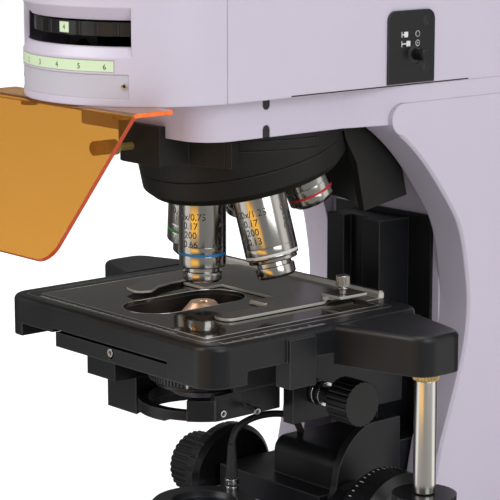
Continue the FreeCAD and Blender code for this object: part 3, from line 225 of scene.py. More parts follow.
# Lead between the field lens housing and the focus housing, shown end to end in the photograph
leadRoute = [
    (-7, 26.6, 100), (-7, 27.8, 106), (-7, 33.6, 110.6), (-7, 45, 112.8),
    (-7, 57, 112.4), (-7, 68, 110), (-7, 76.5, 105), (-7, 79.5, 97),
]
leadRadius = 0.002
leadCurve = bpy.data.curves.new("lamp_lead_rubber", "CURVE")
leadCurve.dimensions = "3D"
leadLine = leadCurve.splines.new("NURBS")
leadLine.points.add(len(leadRoute) - 1)
for point, place in zip(leadLine.points, leadRoute):
    point.co = (*at(*place), 1.0)
    point.radius = leadRadius  # the curve's box counts this radius, and the bevel multiplies it
leadLine.order_u = 3
leadLine.use_endpoint_u = True
leadCurve.resolution_u = 10
leadCurve.bevel_depth = 1.0
leadCurve.bevel_resolution = 8
leadCurve.use_fill_caps = True
lead = bpy.data.objects.new("lamp_lead_rubber", leadCurve)
scene.collection.objects.link(lead)
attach(lead, "stand")
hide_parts("lamp_lead")
print("stage: lead")

# Inputs of the finish by the words that the looks use, with the value that a look may leave out
finishInputs = {
    "color": ("Color", "NodeSocketColor", (0.5, 0.5, 0.5, 1)),
    "worn_and_highlight": ("Worn And Highlight Color", "NodeSocketColor", (0.7, 0.7, 0.7, 1)),
    "roughness": ("Roughness", "NodeSocketFloat", 0.4), "grain": ("Grain Scale", "NodeSocketFloat", 1500.0),
    "depth": ("Grain Depth", "NodeSocketFloat", 0.00001), "stretch": ("Stretch", "NodeSocketVector", (1, 1, 1)),
    "edge": ("Edge Radius", "NodeSocketFloat", 0.0006), "wear_and_highlight": ("Wear And Highlight", "NodeSocketFloat", 0.2),
    "tone": ("Tone", "NodeSocketFloat", 0.06),
}


# Finish: fine grain in the surface, slow change of tone, rounded edges and a lighter colour on them that is partly
# wear and partly a painted highlight
def makeFinishGroup():
    tree = bpy.data.node_groups.new("finish", "ShaderNodeTree")
    for label, kind, value in finishInputs.values():
        tree.interface.new_socket(name=label, in_out="INPUT", socket_type=kind).default_value = value
    for label, kind in (("Color", "Color"), ("Roughness", "Float"), ("Normal", "Vector")):
        tree.interface.new_socket(name=label, in_out="OUTPUT", socket_type="NodeSocket" + kind)
    given, result = tree.nodes.new("NodeGroupInput"), tree.nodes.new("NodeGroupOutput")
    place = tree.nodes.new("ShaderNodeTexCoord").outputs["Object"]
    stretched = vectorNode(tree, "MULTIPLY", place, given.outputs["Stretch"])
    grain = noiseNode(tree, stretched, given.outputs["Grain Scale"], 3.0)
    slow = noiseNode(tree, place, 22.0, 3.0)
    patchy = noiseNode(tree, place, 260.0, 4.0)
    rounded = tree.nodes.new("ShaderNodeBevel")
    rounded.samples = 4
    tree.links.new(given.outputs["Edge Radius"], rounded.inputs["Radius"])
    flat = tree.nodes.new("ShaderNodeNewGeometry").outputs["Normal"]
    # Edge mask from the rounded normal: the edges take the lighter colour, partly wear and partly a painted highlight
    away = mathNode(tree, "SUBTRACT", 1.0, vectorNode(tree, "DOT_PRODUCT", rounded.outputs[0], flat))
    edge = mathNode(tree, "MULTIPLY", away, 5.0, clamp=True)
    edge = mathNode(tree, "MULTIPLY", edge, mathNode(tree, "MULTIPLY_ADD", patchy, 0.9))
    edge = mathNode(tree, "MULTIPLY", edge, given.outputs["Wear And Highlight"], clamp=True)
    swing = mathNode(tree, "MULTIPLY", mathNode(tree, "SUBTRACT", slow, 0.5), given.outputs["Tone"])
    fleck = mathNode(tree, "MULTIPLY", mathNode(tree, "SUBTRACT", grain, 0.5), given.outputs["Tone"])
    brightness = mathNode(tree, "ADD", mathNode(tree, "ADD", swing, 1.0), fleck)
    toned = vectorNode(tree, "SCALE", given.outputs["Color"], brightness)
    tree.links.new(mixColors(tree, edge, toned, given.outputs["Worn And Highlight Color"]), result.inputs["Color"])
    rough = mathNode(tree, "ADD", given.outputs["Roughness"], mathNode(tree, "MULTIPLY", swing, 1.2))
    tree.links.new(mathNode(tree, "ADD", rough, mathNode(tree, "MULTIPLY", fleck, 0.8), clamp=True),
                   result.inputs["Roughness"])
    bump = tree.nodes.new("ShaderNodeBump")
    bump.inputs["Strength"].default_value = 1.0
    tree.links.new(given.outputs["Grain Depth"], bump.inputs["Distance"])
    tree.links.new(grain, bump.inputs["Height"])
    tree.links.new(rounded.outputs[0], bump.inputs["Normal"])
    tree.links.new(bump.outputs[0], result.inputs["Normal"])
    return tree


finishGroup = makeFinishGroup()


# One material from a dictionary: the finish's values, then those of its shader; the edge colour of wear and painted
# highlight is the plain one where a look has none
def makeMaterial(name, look):
    material = bpy.data.materials.new(name)
    material.use_nodes = True
    tree = material.node_tree
    shader = tree.nodes["Principled BSDF"]
    group = tree.nodes.new("ShaderNodeGroup")
    group.node_tree = finishGroup
    for key, (label, kind, standard) in finishInputs.items():
        value = look.get(key, look["color"] if key == "worn_and_highlight" else standard)
        group.inputs[label].default_value = (*value, 1.0) if kind == "NodeSocketColor" else value
    for label, target in (("Color", "Base Color"), ("Roughness", "Roughness"), ("Normal", "Normal")):
        tree.links.new(group.outputs[label], shader.inputs[target])
    # Emission where a look has a glow: painted light on a part that is no lamp
    if "glow" in look:
        shader.inputs["Emission Color"].default_value = (*look["glow"], 1.0)
        shader.inputs["Emission Strength"].default_value = 1.0
    for label, value in look.get("shader", {}).items():
        shader.inputs[label].default_value = value
    return material


looks = {
    "lavender_paint": {"color": (0.56, 0.505, 0.60), "worn_and_highlight": (0.66, 0.62, 0.68), "roughness": 0.38,
                       "grain": 900.0, "depth": 0.000012, "edge": 0.0011, "wear_and_highlight": 0.12, "tone": 0.05,
                       "shader": {"Coat Weight": 0.25, "Coat Roughness": 0.22}},
    "cover_plate": {"color": (0.50, 0.47, 0.53), "worn_and_highlight": (0.62, 0.6, 0.64), "roughness": 0.42,
                    "grain": 1300.0, "depth": 0.000014, "edge": 0.0005, "wear_and_highlight": 0.2},
    # black_metal: its much lighter edge colour is mostly a painted highlight along the edges
    "black_metal": {"color": (0.0085, 0.009, 0.0105), "worn_and_highlight": (0.10, 0.105, 0.115), "roughness": 0.36,
                    "grain": 2200.0, "depth": 0.00002, "edge": 0.0011, "wear_and_highlight": 0.75, "tone": 0.25,
                    "shader": {"Specular IOR Level": 0.36}},
    "black_cast": {"color": (0.0085, 0.008, 0.0068), "worn_and_highlight": (0.07, 0.07, 0.066), "roughness": 0.52,
                   "grain": 1150.0, "depth": 0.00009, "edge": 0.001, "wear_and_highlight": 0.4, "tone": 0.4,
                   "shader": {"Specular IOR Level": 0.34}},
    # rib_black: its lighter edge colour is a painted highlight on the rib tops
    "rib_black": {"color": (0.030, 0.031, 0.035), "worn_and_highlight": (0.12, 0.125, 0.135), "roughness": 0.30, "grain": 2600.0,
                  "depth": 0.000006, "edge": 0.0003, "wear_and_highlight": 0.9, "tone": 0.15},
    "black_gloss": {"color": (0.009, 0.009, 0.010), "worn_and_highlight": (0.05, 0.05, 0.055), "roughness": 0.24,
                    "grain": 2600.0, "depth": 0.000006, "edge": 0.0004, "wear_and_highlight": 0.5, "tone": 0.15},
    "black_plastic": {"color": (0.0085, 0.0085, 0.009), "worn_and_highlight": (0.04, 0.04, 0.042), "roughness": 0.36,
                      "grain": 3000.0, "depth": 0.000008, "edge": 0.0007, "wear_and_highlight": 0.35, "tone": 0.15,
                      "shader": {"Specular IOR Level": 0.36}},
    "stage_inlay": {"color": (0.024, 0.022, 0.018), "worn_and_highlight": (0.10, 0.10, 0.09), "roughness": 0.045,
                    "grain": 500.0, "depth": 0.0, "edge": 0.0003, "wear_and_highlight": 0.4, "tone": 0.05,
                    "shader": {"Specular IOR Level": 0.34}},
    "holder_plate": {"color": (0.055, 0.050, 0.043), "worn_and_highlight": (0.16, 0.15, 0.13), "roughness": 0.20,
                     "grain": 900.0, "depth": 0.000002, "edge": 0.0003, "wear_and_highlight": 0.5, "tone": 0.12},
    "edge_silver": {"color": (0.62, 0.60, 0.55), "worn_and_highlight": (0.8, 0.78, 0.72), "roughness": 0.38, "grain": 1500.0,
                    "depth": 0.000002, "edge": 0.0002, "shader": {"Metallic": 0.55}},
    # copper: the glow is painted light on the condenser's top cone
    "copper": {"color": (0.95, 0.70, 0.54), "worn_and_highlight": (0.95, 0.8, 0.7), "roughness": 0.38, "grain": 1500.0,
               "depth": 0.000004, "edge": 0.0002, "glow": (0.10, 0.060, 0.040), "shader": {"Metallic": 1.0}},
    "chrome": {"color": (0.62, 0.61, 0.60), "worn_and_highlight": (0.75, 0.74, 0.72), "roughness": 0.16, "grain": 1800.0,
               "depth": 0.000002, "edge": 0.0003, "shader": {"Metallic": 1.0}},
    "steel": {"color": (0.58, 0.565, 0.53), "worn_and_highlight": (0.78, 0.76, 0.72), "roughness": 0.27, "grain": 1400.0,
              "depth": 0.000006, "stretch": (1, 1, 0.12), "edge": 0.0004, "shader": {"Metallic": 1.0}},
    # brass: the glow is painted light, brightening the nosepiece's clamp screw behind the shield
    "brass": {"color": (0.62, 0.47, 0.22), "worn_and_highlight": (0.8, 0.66, 0.4), "roughness": 0.30, "grain": 1600.0,
              "depth": 0.000006, "edge": 0.0003, "glow": (0.07, 0.045, 0.012), "shader": {"Metallic": 1.0}},
    "rubber": {"color": (0.02, 0.02, 0.02), "roughness": 0.75, "grain": 1800.0, "depth": 0.00004},
    "lead_rubber": {"color": (0.022, 0.022, 0.023), "worn_and_highlight": (0.03, 0.03, 0.03), "roughness": 0.55,
                    "grain": 2600.0, "depth": 0.00002, "edge": 0.0002, "wear_and_highlight": 0.1},
    "lens_glass": {"color": (0.80, 0.87, 0.95), "roughness": 0.04, "grain": 300.0, "depth": 0.0000005,
                   "edge": 0.0004, "shader": {"Transmission Weight": 0.9, "IOR": 1.5, "Coat Weight": 0.6,
                                              "Coat Tint": (0.6, 0.7, 1.0, 1.0)}},
    # amber_acrylic: the glow is painted light on the shield's body
    "amber_acrylic": {"color": (0.47, 0.225, 0.040), "worn_and_highlight": (0.47, 0.225, 0.040), "roughness": 0.0,
                      "grain": 60.0, "depth": 0.0, "edge": 0.0002, "wear_and_highlight": 0.0, "tone": 0.0,
                      "glow": (0.03, 0.011, 0.001), "shader": {"Transmission Weight": 0.97, "IOR": 1.49}},
    "barrel_chrome": {"color": (0.50, 0.485, 0.455), "worn_and_highlight": (0.8, 0.78, 0.74), "roughness": 0.15,
                      "grain": 2600.0, "depth": 0.000001, "edge": 0.0002, "wear_and_highlight": 0.3, "tone": 0.05,
                      "shader": {"Metallic": 1.0}},
    "turned_steel": {"color": (0.80, 0.78, 0.74), "worn_and_highlight": (0.78, 0.76, 0.72), "roughness": 0.22, "grain": 2600.0,
                     "depth": 0.000004, "stretch": (0.05, 0.05, 1), "edge": 0.0003, "shader": {"Metallic": 1.0}},
    "bevel_line": {"color": (0.62, 0.61, 0.59), "worn_and_highlight": (0.8, 0.8, 0.78), "roughness": 0.22, "grain": 1800.0,
                   "depth": 0.000003, "edge": 0.0001, "shader": {"Metallic": 1.0}},
    "pale_green": {"color": (0.62, 0.76, 0.50), "worn_and_highlight": (0.7, 0.8, 0.6), "roughness": 0.42, "grain": 1500.0,
                   "depth": 0.000006, "tone": 0.04},
    # amber_rim and amber_rim_bright: the shield's edges with painted glow, the flange's brighter copy a painted
    # highlight
    "amber_rim": {"color": (0.34, 0.035, 0.004), "worn_and_highlight": (0.62, 0.12, 0.01), "roughness": 0.22, "grain": 500.0,
                  "depth": 0.000004, "tone": 0.6, "glow": (0.11, 0.010, 0.001)},
    "amber_rim_bright": {"color": (0.62, 0.12, 0.012), "worn_and_highlight": (0.8, 0.3, 0.06), "roughness": 0.2,
                         "grain": 400.0, "depth": 0.000006, "tone": 0.9, "glow": (0.34, 0.05, 0.005)},
}
inkColors = {"blue_ink": (0.015, 0.20, 0.48), "white_ink": (0.72, 0.72, 0.70), "red_ink": (0.45, 0.02, 0.015),
             "yellow_ink": (0.65, 0.42, 0.02), "green_ink": (0.03, 0.30, 0.05), "black_ink": (0.015, 0.015, 0.016)}
for name, color in inkColors.items():
    rough = 0.45 if name in ("white_ink", "black_ink") else 0.35
    looks[name] = {"color": color, "roughness": rough, "grain": 2000.0, "depth": 0.000003}
materials = {name: makeMaterial(name, look) for name, look in looks.items()}
print("stage: materials")


# Mesh helpers: parts are (points in millimetres, faces, material number), joined into one piece
def unit(vector):
    vector = np.asarray(vector, float)
    return vector / np.linalg.norm(vector)


def across(axis):
    side = unit(np.cross(axis, (0.0, 0.0, 1.0) if abs(axis[2]) < 0.9 else (0.0, 1.0, 0.0)))
    return side, np.cross(axis, side)


# Grid of points to quads: rows and columns may each close into a loop
def gridFaces(rows, columns, closeRows=False, closeColumns=False):
    faces = []
    for i in range(rows if closeRows else rows - 1):
        for j in range(columns if closeColumns else columns - 1):
            nextRow, nextColumn = (i + 1) % rows, (j + 1) % columns
            faces.append((i * columns + j, i * columns + nextColumn, nextRow * columns + nextColumn,
                          nextRow * columns + j))
    return faces


# Quadratic arc round a corner: start (1 - t)^2 + corner 2 t (1 - t) + end t^2, with both ends one reach away
def cornerArc(before, corner, after, reach, steps):
    start, end = corner + unit(before - corner) * reach, corner + unit(after - corner) * reach
    return [start * (1 - t) ** 2 + corner * 2 * t * (1 - t) + end * t ** 2
            for t in (step / steps for step in range(steps + 1))]


# Profile whose inner corners are eased by arcs of one reach, or less where its runs are short
def eased(profile, radius):
    points = [np.asarray(p, float) for p in profile]
    result = [points[0]]
    for before, corner, after in zip(points, points[1:], points[2:]):
        reach = min(radius, np.linalg.norm(before - corner) * 0.45, np.linalg.norm(after - corner) * 0.45)
        result += cornerArc(before, corner, after, reach, 3)
    return result + [points[-1]]


# Profile with long runs divided, so that a ripple has rows to move
def divided(profile, step):
    result = [profile[0]]
    for first, second in zip(profile, profile[1:]):
        count = max(1, int(np.ceil(np.linalg.norm(second - first) / step)))
        result += [first + (second - first) * (k + 1) / count for k in range(count)]
    return result


# Turned surface: radius from the profile, plus a ripple of angle and distance, swept round an axis
def turned(profile, base, axis, count=96, ease=0.35, ripple=None, step=None, number=0):
    axis = unit(axis)
    side, up = across(axis)
    line = eased(profile, ease)
    if step:
        line = divided(line, step)
    line = np.array(line)
    angle = np.linspace(0, 2 * math.pi, count, endpoint=False)
    radius = np.repeat(line[:, :1], count, axis=1)
    along = np.repeat(line[:, 1:], count, axis=1)
    if ripple:
        radius = np.maximum(0.0, radius + ripple(np.repeat(angle[None, :], len(line), axis=0), along, radius))
    ring = np.cos(angle)[:, None] * side + np.sin(angle)[:, None] * up
    points = np.asarray(base, float) + along[..., None] * axis + radius[..., None] * ring[None]
    return points.reshape(-1, 3), gridFaces(len(line), count, closeColumns=True), number


# Ring or disc of a square section, turned round an axis
def squareRing(inner, outer, low, high, base, axis, count, ease, number=0):
    return turned([(inner, low), (outer, low), (outer, high), (inner, high)], base, axis, count, ease, number=number)


# Bar along a closed level path: section points are offsets to its side and upwards
def swept(path, section):
    path = np.asarray(path, float)
    ahead = np.roll(path, -1, 0) - np.roll(path, 1, 0)
    side = np.cross(ahead, (0.0, 0.0, 1.0))
    side /= np.linalg.norm(side, axis=1)[:, None]
    section = np.asarray(section, float)
    points = path[:, None] + section[None, :, :1] * side[:, None] + section[None, :, 1:] * np.array([0.0, 0.0, 1.0])
    return points.reshape(-1, 3), gridFaces(len(path), len(section), True, True), 0


# Plate with a round-cornered outline: rings of the outline, inset and raised by (inset, height) pairs
def plate(outline, z, profile):
    outline = np.asarray(outline, float)
    edge = np.roll(outline, -1, 0) - np.roll(outline, 1, 0)
    inward = np.stack([-edge[:, 1], edge[:, 0]], 1) / np.linalg.norm(edge, axis=1)[:, None]
    rings = [np.column_stack([outline + inward * inset, np.full(len(outline), z + height)])
             for inset, height in profile]
    count = len(outline)
    faces = gridFaces(len(rings), count, closeColumns=True)
    faces.append(tuple(range(count)))
    faces.append(tuple(range(len(rings) * count - 1, (len(rings) - 1) * count - 1, -1)))
    return np.concatenate(rings), faces


# Outline of a rectangle with round corners, counter-clockwise
def roundRectangle(x0, x1, y0, y1, radius, steps=6):
    points = []
    for cx, cy, start in ((x1 - radius, y0 + radius, -90), (x1 - radius, y1 - radius, 0),
                          (x0 + radius, y1 - radius, 90), (x0 + radius, y0 + radius, 180)):
        for step in range(steps + 1):
            turn = math.radians(start + 90 * step / steps)
            points.append((cx + radius * math.cos(turn), cy + radius * math.sin(turn)))
    return points


# Word as a thin raised mesh: place maps (right, up, out) in millimetres to points
def word(text, size, place, number=0, thickness=0.06):
    curve = bpy.data.curves.new("word", "FONT")
    curve.body, curve.size, curve.extrude = text, size, thickness
    curve.align_x, curve.align_y, curve.resolution_u = "CENTER", "CENTER", 3
    holder = bpy.data.objects.new("word", curve)
    scene.collection.objects.link(holder)
    bpy.context.view_layer.update()
    mesh = bpy.data.meshes.new_from_object(holder.evaluated_get(bpy.context.evaluated_depsgraph_get()))
    points = np.array([v.co for v in mesh.vertices])
    faces = [tuple(p.vertices) for p in mesh.polygons]
    bpy.data.objects.remove(holder)
    bpy.data.curves.remove(curve)
    bpy.data.meshes.remove(mesh)
    return place(points[:, 0], points[:, 1], points[:, 2]), faces, number


# Flat patch: place for words and marks on a plane through a point, with its right and up directions
def onPlane(origin, right, up):
    right, up = unit(right), unit(up)
    out = np.cross(right, up)
    origin = np.asarray(origin, float)
    return lambda u, v, w: origin + u[:, None] * right + v[:, None] * up + w[:, None] * out


# Curved patch: place round a cylinder, from a point on its axis, with the middle of the word facing "facing"
def onBarrel(origin, up, facing, radius, turn=0.0):
    up = unit(up)
    facing = unit(np.asarray(facing, float) - np.dot(facing, up) * up)
    right = np.cross(up, facing)
    origin = np.asarray(origin, float)

    def place(u, v, w):
        angle = turn + u / radius
        out = np.cos(angle)[:, None] * facing + np.sin(angle)[:, None] * right
        return origin + v[:, None] * up + (radius + w)[:, None] * out
    return place


# Small block on a patch: corners given as (right, up, out) ranges, divided along its length so that it bends
def mark(place, u0, u1, v0, v1, w0=0.0, w1=0.1, number=0, steps=1):
    u = np.linspace(u0, u1, steps + 1)
    section = [(v0, w0), (v1, w0), (v1, w1), (v0, w1)]
    columns = np.repeat(u, 4)
    v = np.tile([s[0] for s in section], steps + 1)
    w = np.tile([s[1] for s in section], steps + 1)
    faces = gridFaces(steps + 1, 4, closeColumns=True) + [(3, 2, 1, 0), tuple(range(steps * 4, steps * 4 + 4))]
    return place(columns, v, w), faces, number


# One object from its parts: doubles merged, normals outward, smooth with sharp edges over 35 degrees
def makePiece(spec, parts):
    points, faces, numbers, start = [], [], [], 0
    for partPoints, partFaces, number in parts:
        points.append(partPoints)
        faces += [tuple(i + start for i in face) for face in partFaces]
        numbers += [number] * len(partFaces)
        start += len(partPoints)
    points = np.concatenate(points) * 0.001 + np.array([axisX, axisY, 0.0])
    mesh = bpy.data.meshes.new(spec["name"])
    mesh.from_pydata(points.tolist(), [], faces)
    mesh.polygons.foreach_set("material_index", numbers)
    build = bmesh.new()
    build.from_mesh(mesh)
    bmesh.ops.remove_doubles(build, verts=build.verts, dist=2e-6)
    bmesh.ops.recalc_face_normals(build, faces=build.faces)
    build.to_mesh(mesh)
    build.free()
    for name in spec["materials"]:
        mesh.materials.append(materials[name])
    mesh.shade_smooth()
    mesh.set_sharp_from_angle(angle=math.radians(spec.get("sharp", 35)))
    made = bpy.data.objects.new(spec["name"], mesh)
    scene.collection.objects.link(made)
    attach(made, spec["body"])
    if spec.get("replaces"):
        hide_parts(*spec["replaces"])
    return made


# Grips: straight flutes, and a helix, as ripples of the radius between two distances
def flutes(count, depth, low, high):
    def ripple(angle, along, radius):
        inside = (along > low) & (along < high) & (radius > 0.5)
        return -depth * inside * (0.5 - 0.5 * np.cos(count * angle)) ** 2
    return ripple


def helix(count, depth, lean, low, high):
    def ripple(angle, along, radius):
        inside = (along > low) & (along < high) & (radius > 0.5)
        return -depth * inside * (0.5 + 0.5 * np.cos(count * angle + lean * along))
    return ripple


# Socket screw: a round head with a hexagonal hollow, standing on a surface; the hollow's floor is a hexagon in the
# dark material, as painted shade
def socketScrew(place, axis, radius, height=0.9, number=0, dark=1):
    head = turned([(0, 0), (radius, 0), (radius, height), (radius * 0.55, height), (radius * 0.5, height * 0.2),
                   (0, height * 0.2)], place, axis, 36, 0.15, number=number)
    hollow = squareRing(0, radius * 0.5, height * 0.22, height * 0.3, place, axis, 6, 0.05, dark)
    return [head, hollow]


toCamera = np.array([0.758, -0.652, 0.0])
opticalAxis = (0, 0, 0), (0, 0, 1)

# Objectives: satin barrels with a coloured ring, turned lips and engraved numbers, each about its own axis
tilt = math.radians(14.0)
turretAxis = np.array([0.0, math.sin(tilt), -math.cos(tilt)])
rising = np.array([0.0, math.cos(tilt), math.sin(tilt)])
turretCentre = np.array([0.0, 0.0, 258.0]) + rising * 29.5


def station(degrees):
    turn = math.radians(degrees)
    outward = rising * -math.cos(turn) + np.array([1.0, 0.0, 0.0]) * math.sin(turn)
    return turretCentre + outward * 29.5, turretAxis * math.cos(tilt) + outward * math.sin(tilt)


objectives = [
    {"name": "40x", "angle": 0, "radius": 13.0, "end": 50.0, "ring": 42.6, "ink": "blue_ink",
     "words": ("40x/0.75", "0.17", "200", "0.66"), "sprung": True},
    {"name": "100x", "angle": 60, "radius": 14.5, "end": 49.5, "ring": 45.4, "ink": "white_ink",
     "words": ("100x/1.25", "0.17", "200", "0.13"), "sprung": True},
    {"name": "4x", "angle": 120, "radius": 13.0, "end": 27.8, "length": 30.0, "nose": 11.4, "ring": 23.6,
     "ink": "red_ink", "words": ("4x/0.16", "0.17"), "sprung": False},
    {"name": "10x", "angle": -120, "radius": 12.5, "end": 38.0, "length": 46.0, "nose": 9.5, "ring": 32.0,
     "ink": "yellow_ink", "words": ("10x/0.40", "0.17"), "sprung": False},
    {"name": "20x", "angle": -60, "radius": 13.0, "end": 47.0, "length": 56.0, "nose": 9.5, "ring": 39.5,
     "ink": "green_ink", "words": ("20x/0.65", "0.17"), "sprung": False},
]
for spec in objectives:
    shoulder, down = station(spec["angle"])
    r, end, ring = spec["radius"], spec["end"], spec["ring"]
    profile = [(7.9, -4.4), (11.9, -4.4), (11.9, 0), (r - 0.8, 0), (r - 0.8, 4.6), (r - 1.2, 4.8), (r - 1.2, 5.3),
               (r, 5.6), (r, ring - 4.6), (r - 0.12, ring - 4.5), (r - 0.12, ring - 4.3), (r, ring - 4.2),
               (r, ring - 0.75), (r - 0.2, ring - 0.7), (r - 0.2, ring + 0.7), (r, ring + 0.75)]
    if spec["name"] == "100x":
        profile += [(r, 47.0), (r - 1.2, 47.3), (r - 1.2, end - 0.4), (r - 1.6, end)]
    else:
        profile += [(r, end - 0.5), (r - 0.5, end)]
    if spec["sprung"]:
        profile += [(9.7, end), (9.7, end - 17.8), (7.9, end - 17.8)]
    else:
        nose, length = spec["nose"], spec["length"]
        drop = min(2.0, (length - end) * 0.8)
        profile += [(nose + 0.2, end), (nose, end + 0.2), (nose, length - drop), (nose - drop, length), (3.3, length),
                    (3.3, length - 1.2), (7.9, length - 14)]
    parts = [turned(profile, shoulder, down, 128, 0.25)]
    parts.append(squareRing(r - 0.4, r - 0.03, ring - 0.7, ring + 0.7, shoulder, down, 128, 0.05, 1))
    firstLine = min(21.5, ring - 6.0 - 5.0 * (len(spec["words"]) - 1))
    for turn, size, lines in ((-0.52, 5.2, spec["words"]), (1.0, 4.2, spec["words"][1:])):
        for line, text in enumerate(lines):
            barrel = onBarrel(shoulder + down * (firstLine + line * 5.0), -down, toCamera, r, turn)
            parts.append(word(text, size, barrel, 2, 0.04))
    if not spec["sprung"]:
        parts.append(turned([(0, length - 1.6), (3.2, length - 1.6), (3.2, length - 0.9), (0, length - 0.5)],
                            shoulder, down, 48, 0.1, number=3))
    makePiece({"name": "barrel_" + spec["name"], "body": "objective_turret", "slot": "chrome",
               "materials": ["barrel_chrome", spec["ink"], "black_ink", "lens_glass"],
               "replaces": ["objective_" + spec["name"]]}, parts)
    if spec["sprung"]:
        tip = [(3.0, end - 15), (9.5, end - 15), (9.5, end + 2.6), (10.8, end + 2.7), (10.8, 56.9), (9.2, 58.4),
               (5.2, 58.5), (3.6, 57.6), (3.0, 57.6)]
        makePiece({"name": "nose_" + spec["name"], "body": "nose_" + spec["name"], "slot": "chrome",
                   "materials": ["barrel_chrome", "lens_glass"],
                   "replaces": ["objective_" + spec["name"] + "_nose"]},
                  [turned(tip, shoulder, down, 112, 0.2),
                   turned([(0, 57.0), (3.4, 57.0), (3.4, 57.7), (0, 58.1)], shoulder, down, 48, 0.1, number=1)])
print("stage: objectives")

# Amber shield: the path goes back to front along the flange, round the bend and down the slope; thickness is
# an offset along the path's normal, and the half width shrinks round the two lower corners. Its body and rims carry a
# painted glow, the flange's rim a brighter copy as painted highlight
shieldSpec = {"back": -74.5, "front": -98.5, "top": 306.0, "slope": math.radians(51.5), "thickness": 2.2,
              "halfWidth": 68.0, "corner": 10.0, "bend": 5.0, "length": 85.0, "columns": 41, "flangeRows": 11}
slope, bend, corner = shieldSpec["slope"], shieldSpec["bend"], shieldSpec["corner"]
bendReach = bend * math.tan(slope / 2)
bendStart = shieldSpec["front"] + bendReach
lower = shieldSpec["length"] - bendReach - corner
shieldPath = [(np.array([y, shieldSpec["top"]]), 0.0, 0.0) for y in np.linspace(shieldSpec["back"], bendStart, 6)]
for turn in np.linspace(0, slope, 10)[1:]:
    spot = np.array([bendStart - bend * math.sin(turn), shieldSpec["top"] - bend + bend * math.cos(turn)])
    shieldPath.append((spot, turn, 0.0))
slopeStart = shieldPath[-1][0]
runs = [*np.linspace(0, lower, 16)[1:], *(lower + corner * np.sin(np.linspace(0, math.pi / 2, 10)[1:]))]
for run in runs:
    spot = slopeStart + run * np.array([-math.cos(slope), -math.sin(slope)])
    shrink = corner - math.sqrt(max(0.0, corner ** 2 - max(0.0, run - lower) ** 2))
    shieldPath.append((spot, slope, shrink))
spots, turns, shrinks = (np.array(part) for part in zip(*shieldPath))
columns = np.linspace(-1, 1, shieldSpec["columns"])
wide = (shieldSpec["halfWidth"] - shrinks)[:, None] * columns
faceGrids = []
for depth in (0.0, shieldSpec["thickness"]):
    middle = spots + depth * np.column_stack([np.sin(turns), -np.cos(turns)])
    y, z = (np.repeat(part[:, None], len(columns), axis=1) for part in middle.T)
    faceGrids.append(np.stack([wide, y, z], axis=2))
rowCount, last = len(shieldPath), len(columns) - 1
loop = ([(i, 0) for i in range(rowCount)] + [(rowCount - 1, j) for j in range(1, last + 1)]
        + [(i, last) for i in range(rowCount - 2, -1, -1)] + [(0, j) for j in range(last - 1, 0, -1)])
flangeRows = shieldSpec["flangeRows"]
slopeLoop = [spot for spot in loop if spot[0] >= flangeRows]
flangeLoop = loop[-(len(loop) - len(slopeLoop) - flangeRows) - 1:] + loop[:flangeRows + 1]
# Rims: the slope's in amber_rim, the flange's in the brighter amber_rim_bright, both with painted glow
rims = [np.array([[grid[i, j] for grid in faceGrids] for i, j in run]) for run in (slopeLoop, flangeLoop)]
makePiece({"name": "shield_acrylic", "body": "stand", "slot": "amber_acrylic", "sharp": 40,
           "materials": ["amber_acrylic", "amber_rim", "amber_rim_bright"], "replaces": ["amber_shield"]},
          [(grid.reshape(-1, 3), gridFaces(rowCount, len(columns)), 0) for grid in faceGrids]
          + [(rim.reshape(-1, 3), gridFaces(len(rim), 2), number) for rim, number in zip(rims, (1, 2))])
print("stage: shield")

# Thumbscrews: two fluted steel heads under the shield and a brass one on the nosepiece, its brass with a painted glow
shieldScrew = {"x": 40.01, "y": -84.0, "z": 299.0, "flutes": 32, "depth": 0.35}
clampScrew = {"place": (2.6, -74.5, 279.0), "flutes": 28, "depth": 0.4}
makePiece({"name": "shield_screw_heads", "body": "stand", "slot": "steel", "materials": ["steel"],
           "replaces": ["thumbscrews"]},
          [turned([(0, 0), (4.5, 0), (4.5, 4.0), (2.0, 4.0), (2.0, 7.0), (0, 7.0)],
                  (side * shieldScrew["x"], shieldScrew["y"], shieldScrew["z"]), (0, 0, 1), 128, 0.3,
                  flutes(shieldScrew["flutes"], shieldScrew["depth"], 0.4, 3.6), 0.4) for side in (-1, 1)])
makePiece({"name": "nosepiece_clamp_screw", "body": "stand", "slot": "steel", "materials": ["brass"]},
          [turned([(0, 0), (3.2, 0), (3.8, 0.6), (3.8, 5.2), (3.3, 5.5), (3.3, 6.3), (3.8, 6.6), (3.8, 14.4),
                   (3.2, 15.0), (2.0, 15.0), (2.0, 31.0), (0, 31.0)], clampScrew["place"], (0, 1, 0), 144, 0.25,
                  flutes(clampScrew["flutes"], clampScrew["depth"], 0.7, 14.2), 0.5)])
print("stage: thumbscrews")

# Number strip of the front cover and number tiles of the filter wheel in its window, each with the digits 1 to 6;
# angles run from the front towards +X
stripSpec = {"z": 326.1, "radius": 67.2, "halfTurn": 35.2, "halfHeight": 2.8, "step": 12.4, "digits": 3.9}
tileSpec = {"z": 344.2, "radius": 61.9, "first": -174.0, "halfWidth": 3.3, "halfHeight": 2.7, "digits": 3.6}
headCentre = np.array([0.0, -33.4, 0.0])


def onCover(degrees, z, radius):
    return onBarrel(headCentre + np.array([0, 0, z]), (0, 0, 1), (0, -1, 0), radius, math.radians(degrees))


